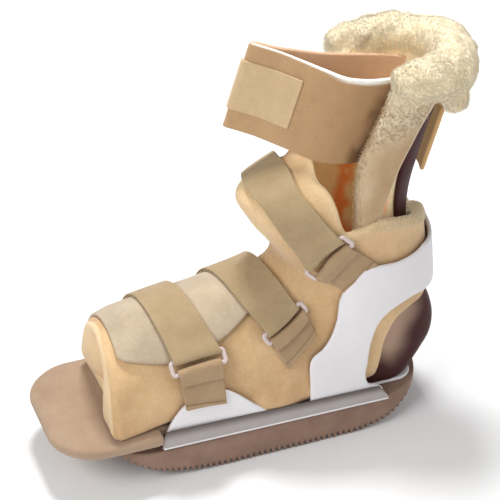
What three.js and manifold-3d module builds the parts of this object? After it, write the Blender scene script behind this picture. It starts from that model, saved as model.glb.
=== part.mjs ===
// Pressure relief ankle foot orthosis, worn on the lower leg to hold the heel clear of the bed.
// A rocker walking sole and a toe plate carry a white shell, a glossy splint that bows round the heel,
// fleece liners for the foot and the calf, and hook and loop straps through rectangular rings.
// Millimetres, +Z up. Toes point to -Y, and +X is the side with the strap rings.
import * as THREE from 'three';
import { mergeVertices } from 'three/addons/utils/BufferGeometryUtils.js';
import Module from 'manifold-3d';

const wasm = await Module();
wasm.setup();

// Driving dimensions.
const GAP = 0.4;
const WIDE = 90;
const END_ROOM = 20;
const MID_LAP = 1;
const SOLE = {
  front: -120, rear: 132, half: 52, top: 26.7, frontRadius: 40, rearRadius: 46, tip: 24,
  flatFront: -15, flatRear: 66, frontRise: 20, frontReach: 91, frontPower: 2.8,
  rearRise: 24, rearReach: 64, rearPower: 1.75, pitch: 4.4, land: 2.5, groove: 2.2,
};
const TOE_PLATE = {
  front: -156, shoulder: -84, rear: 13, half: 55, tongue: 44, corner: 32, bow: 3,
  bottom: 30.4, top: 42.7, edge: 3,
};
const SHELL = {
  bottom: 27, plate: 3, wall: 3.1, skirtInner: 47, skirtOuter: 50.1, skirtTop: 64, wallFoot: 60,
};
const BASE_PLATE = { front: -80, rear: 126, half: 50.1, frontRadius: 6, rearRadius: 44 };
const FLANGE = { innerX: 50.5, innerZ: 41, outerX: 54.2, outerZ: 28.2, thick: 1.8, bottom: 27.1 };
const SPLINT_THICK = 3.4;
const LINER_WALL = 8;
const FLAP_WALL = 3.8;
const STRAP_THICK = 2.8;
const ANCHOR_THICK = 2.2;
const RING = {
  reach: 10, height: 13, bar: 3.2, thick: 3, lift: 6.8, corner: 3, hole: 1, strapRoom: 12, anchorRoom: 5,
};
const CALF = {
  forward: new THREE.Vector3(0, -0.993, 0.12), depth: 58, low: 0.02, high: 0.94,
  innerRadius: 27.6, innerWall: 6, skirtHalf: 43.4, skirtBack: 54, skirtWall: 6, skirtFoot: 183,
  arcCentre: 33,
};
const ROLL = { half: 35, rear: 38, centreY: 116, centreZ: 275, rise: 4, arm: 22, armDrop: 3, radius: 15.5 };
const CALF_STRAP = {
  centre: new THREE.Vector3(0, 68.5, 244.1), forward: new THREE.Vector3(0, -0.951, 0.31),
  up: new THREE.Vector3(0, 0.31, 0.951), low: -24.5, high: 32, thick: 3,
};
const TAB = { from: 0.3, to: 0.52, low: -17.5, high: 18.7, lift: 2.9, thick: 1.8 };
const STRAP_BACK = {
  near: 14, far: -26, middle: -2, bow: 9, bowReach: 26, y: 139, z: 215, half: 24, leanY: 0.41, leanZ: 0.912,
};

// Foot liner: one section a row, from the toe mouth to the collar. The top and base ends are given in
// side view, half is the half width, widest is the share of the way from top to base where it is
// reached, and square is the roundness power of the base corners.
const BOOT_SECTIONS = [
  { topY: -107, topZ: 108, baseY: -110, baseZ: 43.2, half: 49, widest: 0.84, square: 3.6 },
  { topY: -82, topZ: 113, baseY: -82, baseZ: 43.2, half: 46.4, widest: 0.8, square: 3.6 },
  { topY: -54, topZ: 118, baseY: -50, baseZ: 43.2, half: 46.2, widest: 0.77, square: 3.6 },
  { topY: -26, topZ: 122, baseY: -18, baseZ: 43.2, half: 46.2, widest: 0.74, square: 3.4 },
  { topY: 0, topZ: 126, baseY: 14, baseZ: 43.2, half: 46.2, widest: 0.71, square: 3.2 },
  { topY: 16, topZ: 131, baseY: 46, baseZ: 36.5, half: 46.4, widest: 0.67, square: 3 },
  { topY: 23, topZ: 138, baseY: 86, baseZ: 36, half: 46.4, widest: 0.62, square: 2.7 },
  { topY: 21, topZ: 147, baseY: 120, baseZ: 44, half: 46.4, widest: 0.58, square: 2.5 },
  { topY: 13, topZ: 158, baseY: 136, baseZ: 66, half: 46.4, widest: 0.56, square: 2.4 },
  { topY: 3, topZ: 172, baseY: 141, baseZ: 90, half: 46.4, widest: 0.55, square: 2.4 },
  { topY: -4, topZ: 188, baseY: 140.5, baseZ: 112, half: 46.4, widest: 0.54, square: 2.4 },
  { topY: 2, topZ: 207, baseY: 138, baseZ: 136, half: 46.2, widest: 0.52, square: 2.4 },
  { topY: 24, topZ: 228, baseY: 134, baseZ: 164, half: 46, widest: 0.5, square: 2.4 },
];
const BOOT_RINGS = 22;
const BOOT_SIDES = 26;
const TOP_ROUNDNESS = 2;

// Splint: one station a row, from its end under the foot, round the heel and up the calf. y and z are
// the middle of the band in side view, half its half width and wrap the angle its edges curl forward.
const SPLINT_STATIONS = [
  { y: 20, z: 32.4, half: 34, wrap: 1 },
  { y: 70, z: 32.4, half: 36, wrap: 1 },
  { y: 104, z: 32.8, half: 37, wrap: 10 },
  { y: 122, z: 38, half: 38, wrap: 22 },
  { y: 134, z: 49, half: 38, wrap: 30 },
  { y: 140, z: 63, half: 37, wrap: 36 },
  { y: 140.5, z: 77, half: 34, wrap: 38 },
  { y: 136, z: 92, half: 29, wrap: 38 },
  { y: 130, z: 107, half: 24, wrap: 36 },
  { y: 125.5, z: 126, half: 23, wrap: 38 },
  { y: 122, z: 146, half: 26, wrap: 48 },
  { y: 120.5, z: 166, half: 29, wrap: 56 },
  { y: 122, z: 186, half: 31, wrap: 64 },
  { y: 127, z: 206, half: 32, wrap: 70 },
  { y: 134, z: 230, half: 32, wrap: 75 },
  { y: 143, z: 256, half: 32, wrap: 75 },
  { y: 149, z: 276, half: 31, wrap: 75 },
];
const SPLINT_CALF_START = 10;
const SPLINT_ROWS = 32;
const SPLINT_COLUMNS = 8;
const SPLINT_END = 0.985;

// Side view outlines, as y and z pairs.
const HEEL_CUT = [[88, 20], [88, 56], [92, 83], [102, 93], [113, 98], [123, 108], [150, 112], [150, 20]];
const COLLAR_CUT = [
  [20, 260], [36, 226], [47, 212], [54, 192], [56, 174], [61, 168], [72, 173], [84, 176], [112, 168],
  [150, 156], [150, 260],
];
const SHELL_WING = [
  [34, 27], [32, 69], [34, 76], [43, 86], [50, 100], [52, 114], [55, 128], [68, 139], [77, 145],
  [108, 147], [118, 150], [150, 154], [150, 80], [137, 90], [125, 99], [110, 105], [95, 101],
  [84, 90], [78, 74], [74, 42], [74, 27],
];
const SHELL_TAB = [[-76, 27], [-75, 42], [-63, 60], [-48, 65], [-31, 67], [-16, 53], [2, 40], [4, 27]];
const FLAP_NEAR = [
  [-112, 150], [-105, 112], [-103, 102], [-98, 97], [-71, 92], [-30, 100], [-7, 112], [13, 124], [22, 141],
];
const FLAP_FAR = [[-112, 150], [-105, 112], [-104, 76], [-100, 72], [0, 72], [12, 100], [22, 141]];
const FLANGE_ENDS = [[-79, 20], [-70, 50], [92, 50], [94, 20]];
const LAPEL_CUT = [
  [97, 150], [97, 204], [102, 222], [113, 240], [130, 262], [148, 240], [158, 232], [200, 232], [200, 150],
];

// Foot straps. crown holds the front and rear edges where the strap goes over the top, ring the middle
// of its ring, tilt the ring's slope in side view, foot the lower end of its anchor.
const STRAPS = [
  {
    name: 'toe', crown: [[-81, 132], [-48, 134]], ring: [-49.5, 92], tilt: 5, width: 32,
    foot: [[-62, 57], [-30, 56]], lift: 4.7, anchorLift: 4.6,
  },
  {
    name: 'instep', crown: [[-28, 138], [13, 142]], ring: [9, 115], tilt: 25, width: 33,
    foot: [[14, 72], [37, 95]], lift: 4.7, anchorLift: 0.5,
  },
  {
    name: 'ankle', crown: [[-10, 222], [14, 240]], ring: [44, 157], tilt: 32, width: 31,
    foot: [[53, 130.5], [76, 147.5]], lift: 0.5, anchorLift: 0.5,
  },
];

// Calf strap: reach forward along its line, side across it and rise up it, from under the near lapel
// round the fold at the front and back along the far wall.
const CALF_LINE = [
  { reach: -26, side: 23, rise: 9 }, { reach: -14, side: 25.2, rise: 7 },
  { reach: -4, side: 25.4, rise: 5 }, { reach: 5, side: 24, rise: 3.5 },
  { reach: 13.5, side: 19.6, rise: 2 }, { reach: 23.1, side: 8.3, rise: 1 },
  { reach: 34.2, side: -4.8, rise: 0 }, { reach: 47.3, side: -15.3, rise: 0 },
  { reach: 60, side: -21.6, rise: 0 }, { reach: 65.2, side: -24.2, rise: 0 },
  { reach: 60, side: -26.8, rise: 0 }, { reach: 47.3, side: -24.6, rise: 0 },
  { reach: 30, side: -23, rise: 0 }, { reach: 13, side: -22.8, rise: 0 },
  { reach: -3.3, side: -23.6, rise: 1 }, { reach: -24, side: -24.4, rise: 3 },
  { reach: -38, side: -23.4, rise: 5 }, { reach: -50, side: -19.8, rise: 7 },
];
const CALF_STEPS = 68;

const finish = (color, roughness, metalness = 0) =>
  new THREE.MeshStandardMaterial({ color, roughness, metalness });
const MATERIALS = {
  rubber: finish(0xa08270, 0.85),
  plate: finish(0xbe9b7d, 0.8),
  shell: finish(0xe2dfe2, 0.45),
  flange: finish(0x968e92, 0.45),
  splint: finish(0x55302f, 0.3),
  suede: finish(0xdebe91, 0.95),
  flap: finish(0xe6d0af, 0.95),
  fleece: finish(0xf0e6cd, 1),
  webbing: finish(0xbca57a, 0.9),
  calfBand: finish(0xc4a07a, 0.9),
  tab: finish(0xcdb28a, 0.9),
  ring: finish(0xcdb9b9, 0.4),
};

// Closed triangle mesh from points and index triples, turned so that its faces point out.
function closedMesh(points, triangles) {
  let volume = 0;
  const edge = new THREE.Vector3();
  for (const [a, b, c] of triangles) volume += points[a].dot(edge.crossVectors(points[b], points[c]));
  const turned = volume < 0 ? triangles.map(([a, b, c]) => [a, c, b]) : triangles;
  const geometry = new THREE.BufferGeometry();
  geometry.setAttribute('position', new THREE.Float32BufferAttribute(points.flatMap((p) => p.toArray()), 3));
  geometry.setIndex(turned.flat());
  return geometry;
}

// Solid for cutting and joining, from any closed geometry.
function toSolid(geometry) {
  const bare = geometry.clone();
  bare.deleteAttribute('normal');
  bare.deleteAttribute('uv');
  const merged = mergeVertices(bare, 1e-4);
  return new wasm.Manifold(new wasm.Mesh({
    numProp: 3,
    vertProperties: new Float32Array(merged.attributes.position.array),
    triVerts: new Uint32Array(merged.index.array),
  }));
}

function toGeometry(solid) {
  const mesh = solid.getMesh();
  const geometry = new THREE.BufferGeometry();
  geometry.setAttribute('position', new THREE.BufferAttribute(new Float32Array(mesh.vertProperties), 3));
  geometry.setIndex(Array.from(mesh.triVerts));
  geometry.computeVertexNormals();
  return geometry;
}

// Prism across X whose outline is given in side view.
function sidePrism(outline, fromX = -WIDE, toX = WIDE) {
  const shape = new THREE.Shape(outline.map(([y, z]) => new THREE.Vector2(y, z)));
  const geometry = new THREE.ExtrudeGeometry(shape, { depth: toX - fromX, bevelEnabled: false });
  const axes = [new THREE.Vector3(0, 1, 0), new THREE.Vector3(0, 0, 1), new THREE.Vector3(1, 0, 0)];
  geometry.applyMatrix4(new THREE.Matrix4().makeBasis(...axes).setPosition(fromX, 0, 0));
  return toSolid(geometry);
}

// Side view rectangle that reaches past the object's ends, between two heights.
const bandBetween = (low, high) => [[-2 * WIDE, low], [3 * WIDE, low], [3 * WIDE, high], [-2 * WIDE, high]];

// Closed solid through a list of rings, with a fan over each end.
function loft(rings) {
  const sides = rings[0].length;
  const points = rings.flat();
  const triangles = [];
  for (let i = 0; i + 1 < rings.length; i += 1) {
    for (let j = 0; j < sides; j += 1) {
      const next = (j + 1) % sides;
      const [a, b, c, d] = [i * sides + j, i * sides + next, (i + 1) * sides + next, (i + 1) * sides + j];
      triangles.push([a, b, c], [a, c, d]);
    }
  }
  for (const [start, turn] of [[0, 1], [(rings.length - 1) * sides, -1]]) {
    const ring = points.slice(start, start + sides);
    const middle = ring.reduce((sum, p) => sum.add(p), new THREE.Vector3()).divideScalar(sides);
    points.push(middle);
    for (let j = 0; j < sides; j += 1) {
      const pair = [start + j, start + ((j + 1) % sides)];
      if (turn > 0) pair.reverse();
      triangles.push([points.length - 1, pair[0], pair[1]]);
    }
  }
  return closedMesh(points, triangles);
}

// Unit normals of a grid of points, from its neighbours; loop closes the grid across its columns.
function gridNormals(grid, loop) {
  const last = grid.length - 1;
  const columns = grid[0].length;
  const at = (j) => (loop ? (j + columns) % columns : THREE.MathUtils.clamp(j, 0, columns - 1));
  return grid.map((row, i) => row.map((point, j) => {
    const along = grid[Math.min(i + 1, last)][j].clone().sub(grid[Math.max(i - 1, 0)][j]);
    const across = row[at(j + 1)].clone().sub(row[at(j - 1)]);
    return along.cross(across).normalize();
  }));
}

// Sheet of even thickness about a grid of points on its middle surface.
function sheet(grid, thick) {
  const normals = gridNormals(grid, false);
  const columns = grid[0].length;
  const count = grid.length * columns;
  const side = (sign) => grid.flatMap((row, i) =>
    row.map((p, j) => p.clone().addScaledVector(normals[i][j], (sign * thick) / 2)));
  const points = [...side(1), ...side(-1)];
  const triangles = [];
  const quad = (a, b, c, d) => triangles.push([a, b, c], [a, c, d]);
  const at = (i, j) => i * columns + j;
  const steps = columns - 1;
  for (let i = 0; i + 1 < grid.length; i += 1) {
    for (let j = 0; j < steps; j += 1) {
      const [a, b, c, d] = [at(i, j), at(i, j + 1), at(i + 1, j + 1), at(i + 1, j)];
      quad(a, b, c, d);
      quad(count + d, count + c, count + b, count + a);
    }
  }
  const end = grid.length - 1;
  for (let j = 0; j < steps; j += 1) {
    quad(at(0, j + 1), at(0, j), count + at(0, j), count + at(0, j + 1));
    quad(at(end, j), at(end, j + 1), count + at(end, j + 1), count + at(end, j));
  }
  for (let i = 0; i < end; i += 1) {
    quad(at(i, 0), at(i + 1, 0), count + at(i + 1, 0), count + at(i, 0));
    quad(at(i + 1, steps), at(i, steps), count + at(i, steps), count + at(i + 1, steps));
  }
  return closedMesh(points, triangles);
}

// Row of a table at share u of its length, with each column blended between its neighbours.
function rowAt(table, u) {
  const place = THREE.MathUtils.clamp(u, 0, 1) * (table.length - 1);
  const index = Math.min(Math.floor(place), table.length - 2);
  const [low, high] = [table[index], table[index + 1]];
  const mix = (key) => [key, THREE.MathUtils.lerp(low[key], high[key], place - index)];
  return Object.fromEntries(Object.keys(low).map(mix));
}

const curveOf = (table, y, z) =>
  new THREE.CatmullRomCurve3(table.map((row) => new THREE.Vector3(0, row[y], row[z])), false, 'centripetal');
const bootTop = curveOf(BOOT_SECTIONS, 'topY', 'topZ');
const bootBase = curveOf(BOOT_SECTIONS, 'baseY', 'baseZ');

// Outer surface of the foot liner: u runs from toe to collar, turn goes round from the top.
function bootPoint(u, turn) {
  const { half, widest, square } = rowAt(BOOT_SECTIONS, u);
  const [rise, swing] = [Math.cos(turn), Math.sin(turn)];
  const power = 2 / (rise >= 0 ? TOP_ROUNDNESS : square);
  const reach = Math.abs(rise) ** power;
  const along = rise >= 0 ? widest * (1 - reach) : widest + (1 - widest) * reach;
  return bootTop.getPoint(u).lerp(bootBase.getPoint(u), along)
    .setX(half * Math.sign(swing) * Math.abs(swing) ** power);
}

const bootTurn = (j) => ((j + 0.5) / BOOT_SIDES) * 2 * Math.PI;
const bootGrid = Array.from({ length: BOOT_RINGS + 1 }, (_, i) =>
  Array.from({ length: BOOT_SIDES }, (__, j) => bootPoint(i / BOOT_RINGS, bootTurn(j))));
const bootNormals = gridNormals(bootGrid, true);
const facing = Math.sign(bootNormals[2][0].z);

// Solid of the foot form moved out by offset, with its two ends carried on by extend.
function bootForm(offset, extend = 0) {
  const rings = bootGrid.map((ring, i) =>
    ring.map((p, j) => p.clone().addScaledVector(bootNormals[i][j], offset * facing)));
  if (extend > 0) {
    rings.unshift(rings[0].map((p) => p.clone().add(new THREE.Vector3(0, -extend, 0))));
    rings.push(rings[rings.length - 1].map((p) => p.clone().add(new THREE.Vector3(0, 0, extend))));
  }
  return loft(rings);
}

// Wall that follows the foot form between two offsets, open at the toe and the collar.
const bootWall = (inner, outer) => toSolid(bootForm(outer)).subtract(toSolid(bootForm(inner, END_ROOM)));

// Rounded plan outline, symmetric about Y, with its own corner radius at each end.
function planOutline({ front, rear, half, frontRadius, rearRadius }) {
  const shape = new THREE.Shape();
  const quarter = Math.PI / 2;
  shape.absarc(half - frontRadius, front + frontRadius, frontRadius, -quarter, 0);
  shape.absarc(half - rearRadius, rear - rearRadius, rearRadius, 0, quarter);
  shape.absarc(rearRadius - half, rear - rearRadius, rearRadius, quarter, 2 * quarter);
  shape.absarc(frontRadius - half, front + frontRadius, frontRadius, 2 * quarter, 3 * quarter);
  shape.closePath();
  return shape;
}

const plateOf = (shape, bottom, top, segments = 8) =>
  new THREE.ExtrudeGeometry(shape, { depth: top - bottom, bevelEnabled: false, curveSegments: segments })
    .translate(0, 0, bottom);

// Height of the rocker sole's underside at y.
function soleUnderside(y) {
  if (y < SOLE.flatFront) {
    return SOLE.frontRise * ((SOLE.flatFront - y) / SOLE.frontReach) ** SOLE.frontPower;
  }
  return SOLE.rearRise * (Math.max(0, y - SOLE.flatRear) / SOLE.rearReach) ** SOLE.rearPower;
}

// Walking sole: a side profile with a ribbed tread, cut to the plan outline.
function outsole() {
  const profile = [[SOLE.front, SOLE.top]];
  const first = Math.ceil(SOLE.front / SOLE.pitch);
  const last = Math.floor(SOLE.rear / SOLE.pitch);
  for (let rib = first; rib <= last; rib += 1) {
    const [from, to] = [rib * SOLE.pitch - SOLE.land / 2, rib * SOLE.pitch + SOLE.land / 2];
    const low = (y) => Math.min(soleUnderside(y), SOLE.tip);
    const high = (y) => Math.min(soleUnderside(y) + SOLE.groove, SOLE.tip);
    profile.push([from - GAP, high(from)], [from, low(from)], [to, low(to)], [to + GAP, high(to)]);
  }
  profile.push([SOLE.rear, SOLE.tip], [SOLE.rear, SOLE.top]);
  return sidePrism(profile).intersect(toSolid(plateOf(planOutline(SOLE), -1, SOLE.top + 1, 10)));
}

// Toe plate: a padded slab ahead of the sole with a narrower tongue under the foot liner.
function toePlate() {
  const { front, shoulder, rear, half, tongue, corner, bow, bottom, top, edge } = TOE_PLATE;
  const shape = new THREE.Shape();
  shape.moveTo(half, shoulder);
  shape.lineTo(tongue, shoulder);
  shape.lineTo(tongue, rear);
  shape.lineTo(-tongue, rear);
  shape.lineTo(-tongue, shoulder);
  shape.lineTo(-half, shoulder);
  shape.lineTo(-half, front + corner);
  shape.quadraticCurveTo(-half, front + bow, corner - half, front + bow);
  shape.quadraticCurveTo(0, front - bow, half - corner, front + bow);
  shape.quadraticCurveTo(half, front + bow, half, front + corner);
  shape.closePath();
  return new THREE.ExtrudeGeometry(shape, {
    depth: top - bottom - 2 * edge, curveSegments: 8,
    bevelThickness: edge, bevelSize: edge, bevelOffset: -edge, bevelSegments: 2,
  }).translate(0, 0, bottom + edge);
}

// White shell: base plate, upright skirts and the wall that goes round behind the ankle.
function footShell() {
  const outline = sidePrism(SHELL_WING).add(sidePrism(SHELL_TAB));
  const above = sidePrism(bandBetween(SHELL.wallFoot, 2 * WIDE));
  const below = bandBetween(SHELL.bottom, SHELL.skirtTop);
  const skirts = sidePrism(below, SHELL.skirtInner, SHELL.skirtOuter)
    .add(sidePrism(below, -SHELL.skirtOuter, -SHELL.skirtInner));
  const wall = bootWall(GAP, GAP + SHELL.wall).intersect(above);
  const plate = toSolid(plateOf(planOutline(BASE_PLATE), SHELL.bottom, SHELL.bottom + SHELL.plate));
  return wall.add(skirts).intersect(outline).add(plate);
}

// Grey strip that leans out over the edge of the sole, mitred at its front end.
function flange(side) {
  const { innerX, innerZ, outerX, outerZ, thick, bottom } = FLANGE;
  const section = new THREE.Shape([
    [innerX, innerZ], [innerX, bottom], [outerX, bottom], [outerX, outerZ], [innerX + thick, innerZ],
  ].map(([x, z]) => new THREE.Vector2(x, z)));
  const long = new THREE.ExtrudeGeometry(section, { depth: 3 * WIDE, bevelEnabled: false });
  long.rotateX(Math.PI / 2).translate(0, 1.5 * WIDE, 0);
  if (side < 0) long.rotateZ(Math.PI);
  return toSolid(long).intersect(sidePrism(FLANGE_ENDS));
}

const splintLine = curveOf(SPLINT_STATIONS, 'y', 'z');

// Splint: a band along the line, its edges curled towards the leg; room swells it on every side.
function splint(room = 0, end = SPLINT_END) {
  const grid = Array.from({ length: SPLINT_ROWS + 1 }, (_, i) => {
    const u = (end * i) / SPLINT_ROWS;
    const { half, wrap } = rowAt(SPLINT_STATIONS, u);
    const middle = splintLine.getPoint(u);
    const along = splintLine.getTangent(u);
    const inward = new THREE.Vector3(0, -along.z, along.y);
    const angle = THREE.MathUtils.degToRad(wrap);
    const radius = half / Math.sin(angle);
    return Array.from({ length: SPLINT_COLUMNS + 1 }, (__, j) => {
      const turn = (angle + room / radius) * (2 * (j / SPLINT_COLUMNS) - 1);
      const depth = radius * (1 - Math.cos(turn));
      return middle.clone().addScaledVector(inward, depth).setX(radius * Math.sin(turn));
    });
  });
  return sheet(grid, SPLINT_THICK + 2 * room);
}

// Upright U-shaped sheet behind the calf: an arc at the back and straight walls to the front edge.
// half is its half width, back how far the arc reaches behind the arc's centre.
function calfSheet(half, back, thick) {
  const rows = 8;
  const arcSteps = 10;
  const wallSteps = 2;
  const start = SPLINT_CALF_START / (SPLINT_STATIONS.length - 1);
  const profile = [];
  for (let i = wallSteps; i > 0; i -= 1) {
    profile.push([half, CALF.arcCentre + ((CALF.depth - CALF.arcCentre) * i) / wallSteps]);
  }
  for (let i = 0; i <= arcSteps; i += 1) {
    const turn = Math.PI * (0.5 - i / arcSteps);
    profile.push([half * Math.sin(turn), CALF.arcCentre - back * Math.cos(turn)]);
  }
  profile.push(...profile.slice(0, wallSteps).reverse().map(([x, depth]) => [-x, depth]));
  const grid = Array.from({ length: rows + 1 }, (_, i) => {
    const share = THREE.MathUtils.lerp(CALF.low, CALF.high, i / rows);
    const spine = splintLine.getPoint(THREE.MathUtils.lerp(start, 1, share));
    return profile.map(([x, depth]) => spine.clone().addScaledVector(CALF.forward, depth).setX(x));
  });
  return sheet(grid, thick);
}

// Fat rolled edge along the top of the calf liner.
function calfRoll() {
  const { half, rear, centreY, centreZ, rise, arm, armDrop, radius } = ROLL;
  const path = [];
  const arcSteps = 12;
  for (let i = 0; i <= arcSteps; i += 1) {
    const turn = Math.PI * (i / arcSteps - 0.5);
    const back = Math.cos(turn);
    path.push(new THREE.Vector3(half * Math.sin(turn), centreY + rear * back, centreZ + rise * back));
  }
  path.unshift(new THREE.Vector3(-half, centreY - arm, centreZ - armDrop));
  path.push(new THREE.Vector3(half, centreY - arm, centreZ - armDrop));
  const circle = new THREE.Shape().absarc(0, 0, radius, 0, 2 * Math.PI);
  return new THREE.ExtrudeGeometry(circle, {
    steps: 16, curveSegments: 10, bevelEnabled: false, extrudePath: new THREE.CatmullRomCurve3(path),
  });
}

// Calf liner: inner sheet, rolled top and an outer skirt that is cut away behind the lapels. The top of
// the splint and the calf strap sit in the fold between the two layers.
function calfLiner() {
  const inner = toSolid(calfSheet(CALF.innerRadius, CALF.innerRadius, CALF.innerWall));
  const skirt = toSolid(calfSheet(CALF.skirtHalf, CALF.skirtBack, CALF.skirtWall));
  const hung = skirt.subtract(sidePrism(LAPEL_CUT)).subtract(sidePrism(bandBetween(0, CALF.skirtFoot)));
  const pockets = toSolid(splint(2 * GAP, 1)).add(toSolid(calfStrap(GAP)));
  return inner.add(toSolid(calfRoll())).add(hung).subtract(pockets);
}

const calfLine = new THREE.CatmullRomCurve3(
  CALF_LINE.map(({ reach, side, rise }) => new THREE.Vector3(side, reach, rise)), false, 'centripetal');

// Stretch of the calf strap between two shares of its line, as a grid of rows between two heights.
function calfBand(from, to, steps, low, high, lift) {
  const point = (share, height) => {
    const { x: side, y: reach, z: rise } = calfLine.getPoint(share);
    const ahead = calfLine.getTangent(share);
    return CALF_STRAP.centre.clone()
      .addScaledVector(CALF_STRAP.forward, reach - ahead.x * lift)
      .addScaledVector(CALF_STRAP.up, height + rise)
      .setX(side + ahead.y * lift);
  };
  const shares = Array.from({ length: steps + 1 }, (_, i) => THREE.MathUtils.lerp(from, to, i / steps));
  return [low, (low + high) / 2, high].map((height) => shares.map((share) => point(share, height)));
}

// Calf strap, a folded strip; room swells it on every side.
function calfStrap(room = 0) {
  const { low, high, thick } = CALF_STRAP;
  return sheet(calfBand(0, 1, CALF_STEPS, low - room, high + room, 0), thick + 2 * room);
}

// Tab laid over the near side of the strap, back from its fold.
const closureTab = () =>
  sheet(calfBand(TAB.from, TAB.to, CALF_STEPS / 4, TAB.low, TAB.high, TAB.lift), TAB.thick);

// Piece of the calf strap behind the splint, bowed across it and leaning with it.
function strapBack() {
  const { near, far, middle, bow, bowReach, y, z, half, leanY, leanZ } = STRAP_BACK;
  const columns = 10;
  const row = (lean) => Array.from({ length: columns + 1 }, (_, i) => {
    const x = THREE.MathUtils.lerp(near, far, i / columns);
    return new THREE.Vector3(x, y + leanY * lean - bow * ((x - middle) / bowReach) ** 2, z + leanZ * lean);
  });
  return sheet([-half, 0, half].map(row), CALF_STRAP.thick);
}

// Ends of a ring's long axis in side view, moved down the strap by drop.
function ringLine({ ring, tilt, width }, drop) {
  const angle = THREE.MathUtils.degToRad(tilt);
  const [along, down] = [[Math.cos(angle), Math.sin(angle)], [Math.sin(angle), -Math.cos(angle)]];
  return [-1, 1].map((end) => [0, 1].map((k) => ring[k] + (end * along[k] * width) / 2 + down[k] * drop));
}

// Strap over the top of the foot, from its anchor on the plain side to the ring.
function footStrap(strap) {
  const [front, rear] = strap.crown;
  const [nearFront, nearRear] = ringLine(strap, -RING.strapRoom);
  const [farFront, farRear] = strap.foot;
  const reach = sidePrism([front, rear, nearRear, nearFront], -MID_LAP)
    .add(sidePrism([front, rear, farRear, farFront], -WIDE, 0));
  return bootWall(strap.lift, strap.lift + STRAP_THICK).intersect(reach);
}

// Webbing from the ring down to where it is sewn on.
function anchor(strap) {
  const [front, rear] = ringLine(strap, RING.anchorRoom);
  const [footFront, footRear] = strap.foot;
  const reach = sidePrism([front, rear, footRear, footFront], 0);
  return bootWall(strap.anchorLift, strap.anchorLift + ANCHOR_THICK).intersect(reach);
}

const bootSurface = new THREE.Mesh(bootForm(0), new THREE.MeshBasicMaterial({ side: THREE.DoubleSide }));

// Rectangular ring lying on the near side of the foot.
function ring(strap) {
  const [y, z] = strap.ring;
  const ray = new THREE.Raycaster(new THREE.Vector3(2 * WIDE, y, z), new THREE.Vector3(-1, 0, 0));
  const [hit] = ray.intersectObject(bootSurface);
  const angle = THREE.MathUtils.degToRad(strap.tilt);
  const out = hit.face.normal.clone();
  const long = new THREE.Vector3(0, Math.cos(angle), Math.sin(angle));
  long.addScaledVector(out, -long.dot(out)).normalize();
  const cross = new THREE.Vector3().crossVectors(out, long);
  const frame = (half, rear, corner) =>
    planOutline({ front: -rear, rear, half, frontRadius: corner, rearRadius: corner });
  const [halfLong, halfCross] = [(strap.width + RING.reach) / 2, RING.height / 2];
  const shape = frame(halfLong, halfCross, RING.corner);
  shape.holes.push(frame(halfLong - RING.bar, halfCross - RING.bar, RING.hole));
  const geometry = plateOf(shape, RING.lift - RING.thick / 2, RING.lift + RING.thick / 2, 3);
  return geometry.applyMatrix4(new THREE.Matrix4().makeBasis(long, cross, out).setPosition(hit.point));
}

const bootLiner = () => bootWall(-LINER_WALL, 0)
  .subtract(sidePrism(HEEL_CUT))
  .subtract(sidePrism(COLLAR_CUT));
const topFlap = () => bootWall(GAP, GAP + FLAP_WALL)
  .intersect(sidePrism(FLAP_NEAR, -MID_LAP).add(sidePrism(FLAP_FAR, -WIDE, 0)));

const orthosis = new THREE.Group();
function addPiece(name, shape, material) {
  const geometry = shape instanceof THREE.BufferGeometry ? shape : toGeometry(shape);
  const mesh = new THREE.Mesh(geometry, material);
  mesh.name = name;
  orthosis.add(mesh);
}

addPiece('outsole', outsole(), MATERIALS.rubber);
addPiece('toe_plate', toePlate(), MATERIALS.plate);
addPiece('foot_shell', footShell(), MATERIALS.shell);
addPiece('flange_near', flange(1), MATERIALS.flange);
addPiece('flange_far', flange(-1), MATERIALS.flange);
addPiece('splint', splint(), MATERIALS.splint);
addPiece('foot_liner', bootLiner(), MATERIALS.suede);
addPiece('top_flap', topFlap(), MATERIALS.flap);
addPiece('calf_liner', calfLiner(), MATERIALS.fleece);
addPiece('calf_strap', calfStrap(), MATERIALS.calfBand);
addPiece('strap_back', strapBack(), MATERIALS.calfBand);
addPiece('closure_tab', closureTab(), MATERIALS.tab);
for (const strap of STRAPS) {
  addPiece(`${strap.name}_strap`, footStrap(strap), MATERIALS.webbing);
  addPiece(`${strap.name}_anchor`, anchor(strap), MATERIALS.webbing);
  addPiece(`${strap.name}_ring`, ring(strap), MATERIALS.ring);
}

export default orthosis;
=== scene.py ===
"""Looks of a pressure relief ankle foot orthosis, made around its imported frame.

Sizes are in millimetres and become metres when a mesh is laid down. Toes point to -Y, +Z is up and +X is the
near side, which carries the strap rings.
"""

import functools
import itertools
import logging
import math
from dataclasses import dataclass, field
from enum import Enum

import bpy
import numpy as np
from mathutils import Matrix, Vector

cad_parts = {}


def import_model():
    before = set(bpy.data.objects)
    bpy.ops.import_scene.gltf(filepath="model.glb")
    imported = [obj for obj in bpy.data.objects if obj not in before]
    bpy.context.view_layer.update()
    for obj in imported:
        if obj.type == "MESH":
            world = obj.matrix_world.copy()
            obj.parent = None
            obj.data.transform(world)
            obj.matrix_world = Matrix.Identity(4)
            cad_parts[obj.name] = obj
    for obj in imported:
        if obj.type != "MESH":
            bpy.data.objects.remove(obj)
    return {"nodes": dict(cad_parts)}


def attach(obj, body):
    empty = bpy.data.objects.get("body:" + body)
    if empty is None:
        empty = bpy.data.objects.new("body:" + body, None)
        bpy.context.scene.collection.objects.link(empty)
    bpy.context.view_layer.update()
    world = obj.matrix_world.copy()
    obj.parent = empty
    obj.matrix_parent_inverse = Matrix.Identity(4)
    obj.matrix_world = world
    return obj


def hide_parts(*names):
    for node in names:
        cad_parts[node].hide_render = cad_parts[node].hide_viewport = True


Array = np.ndarray
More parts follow.
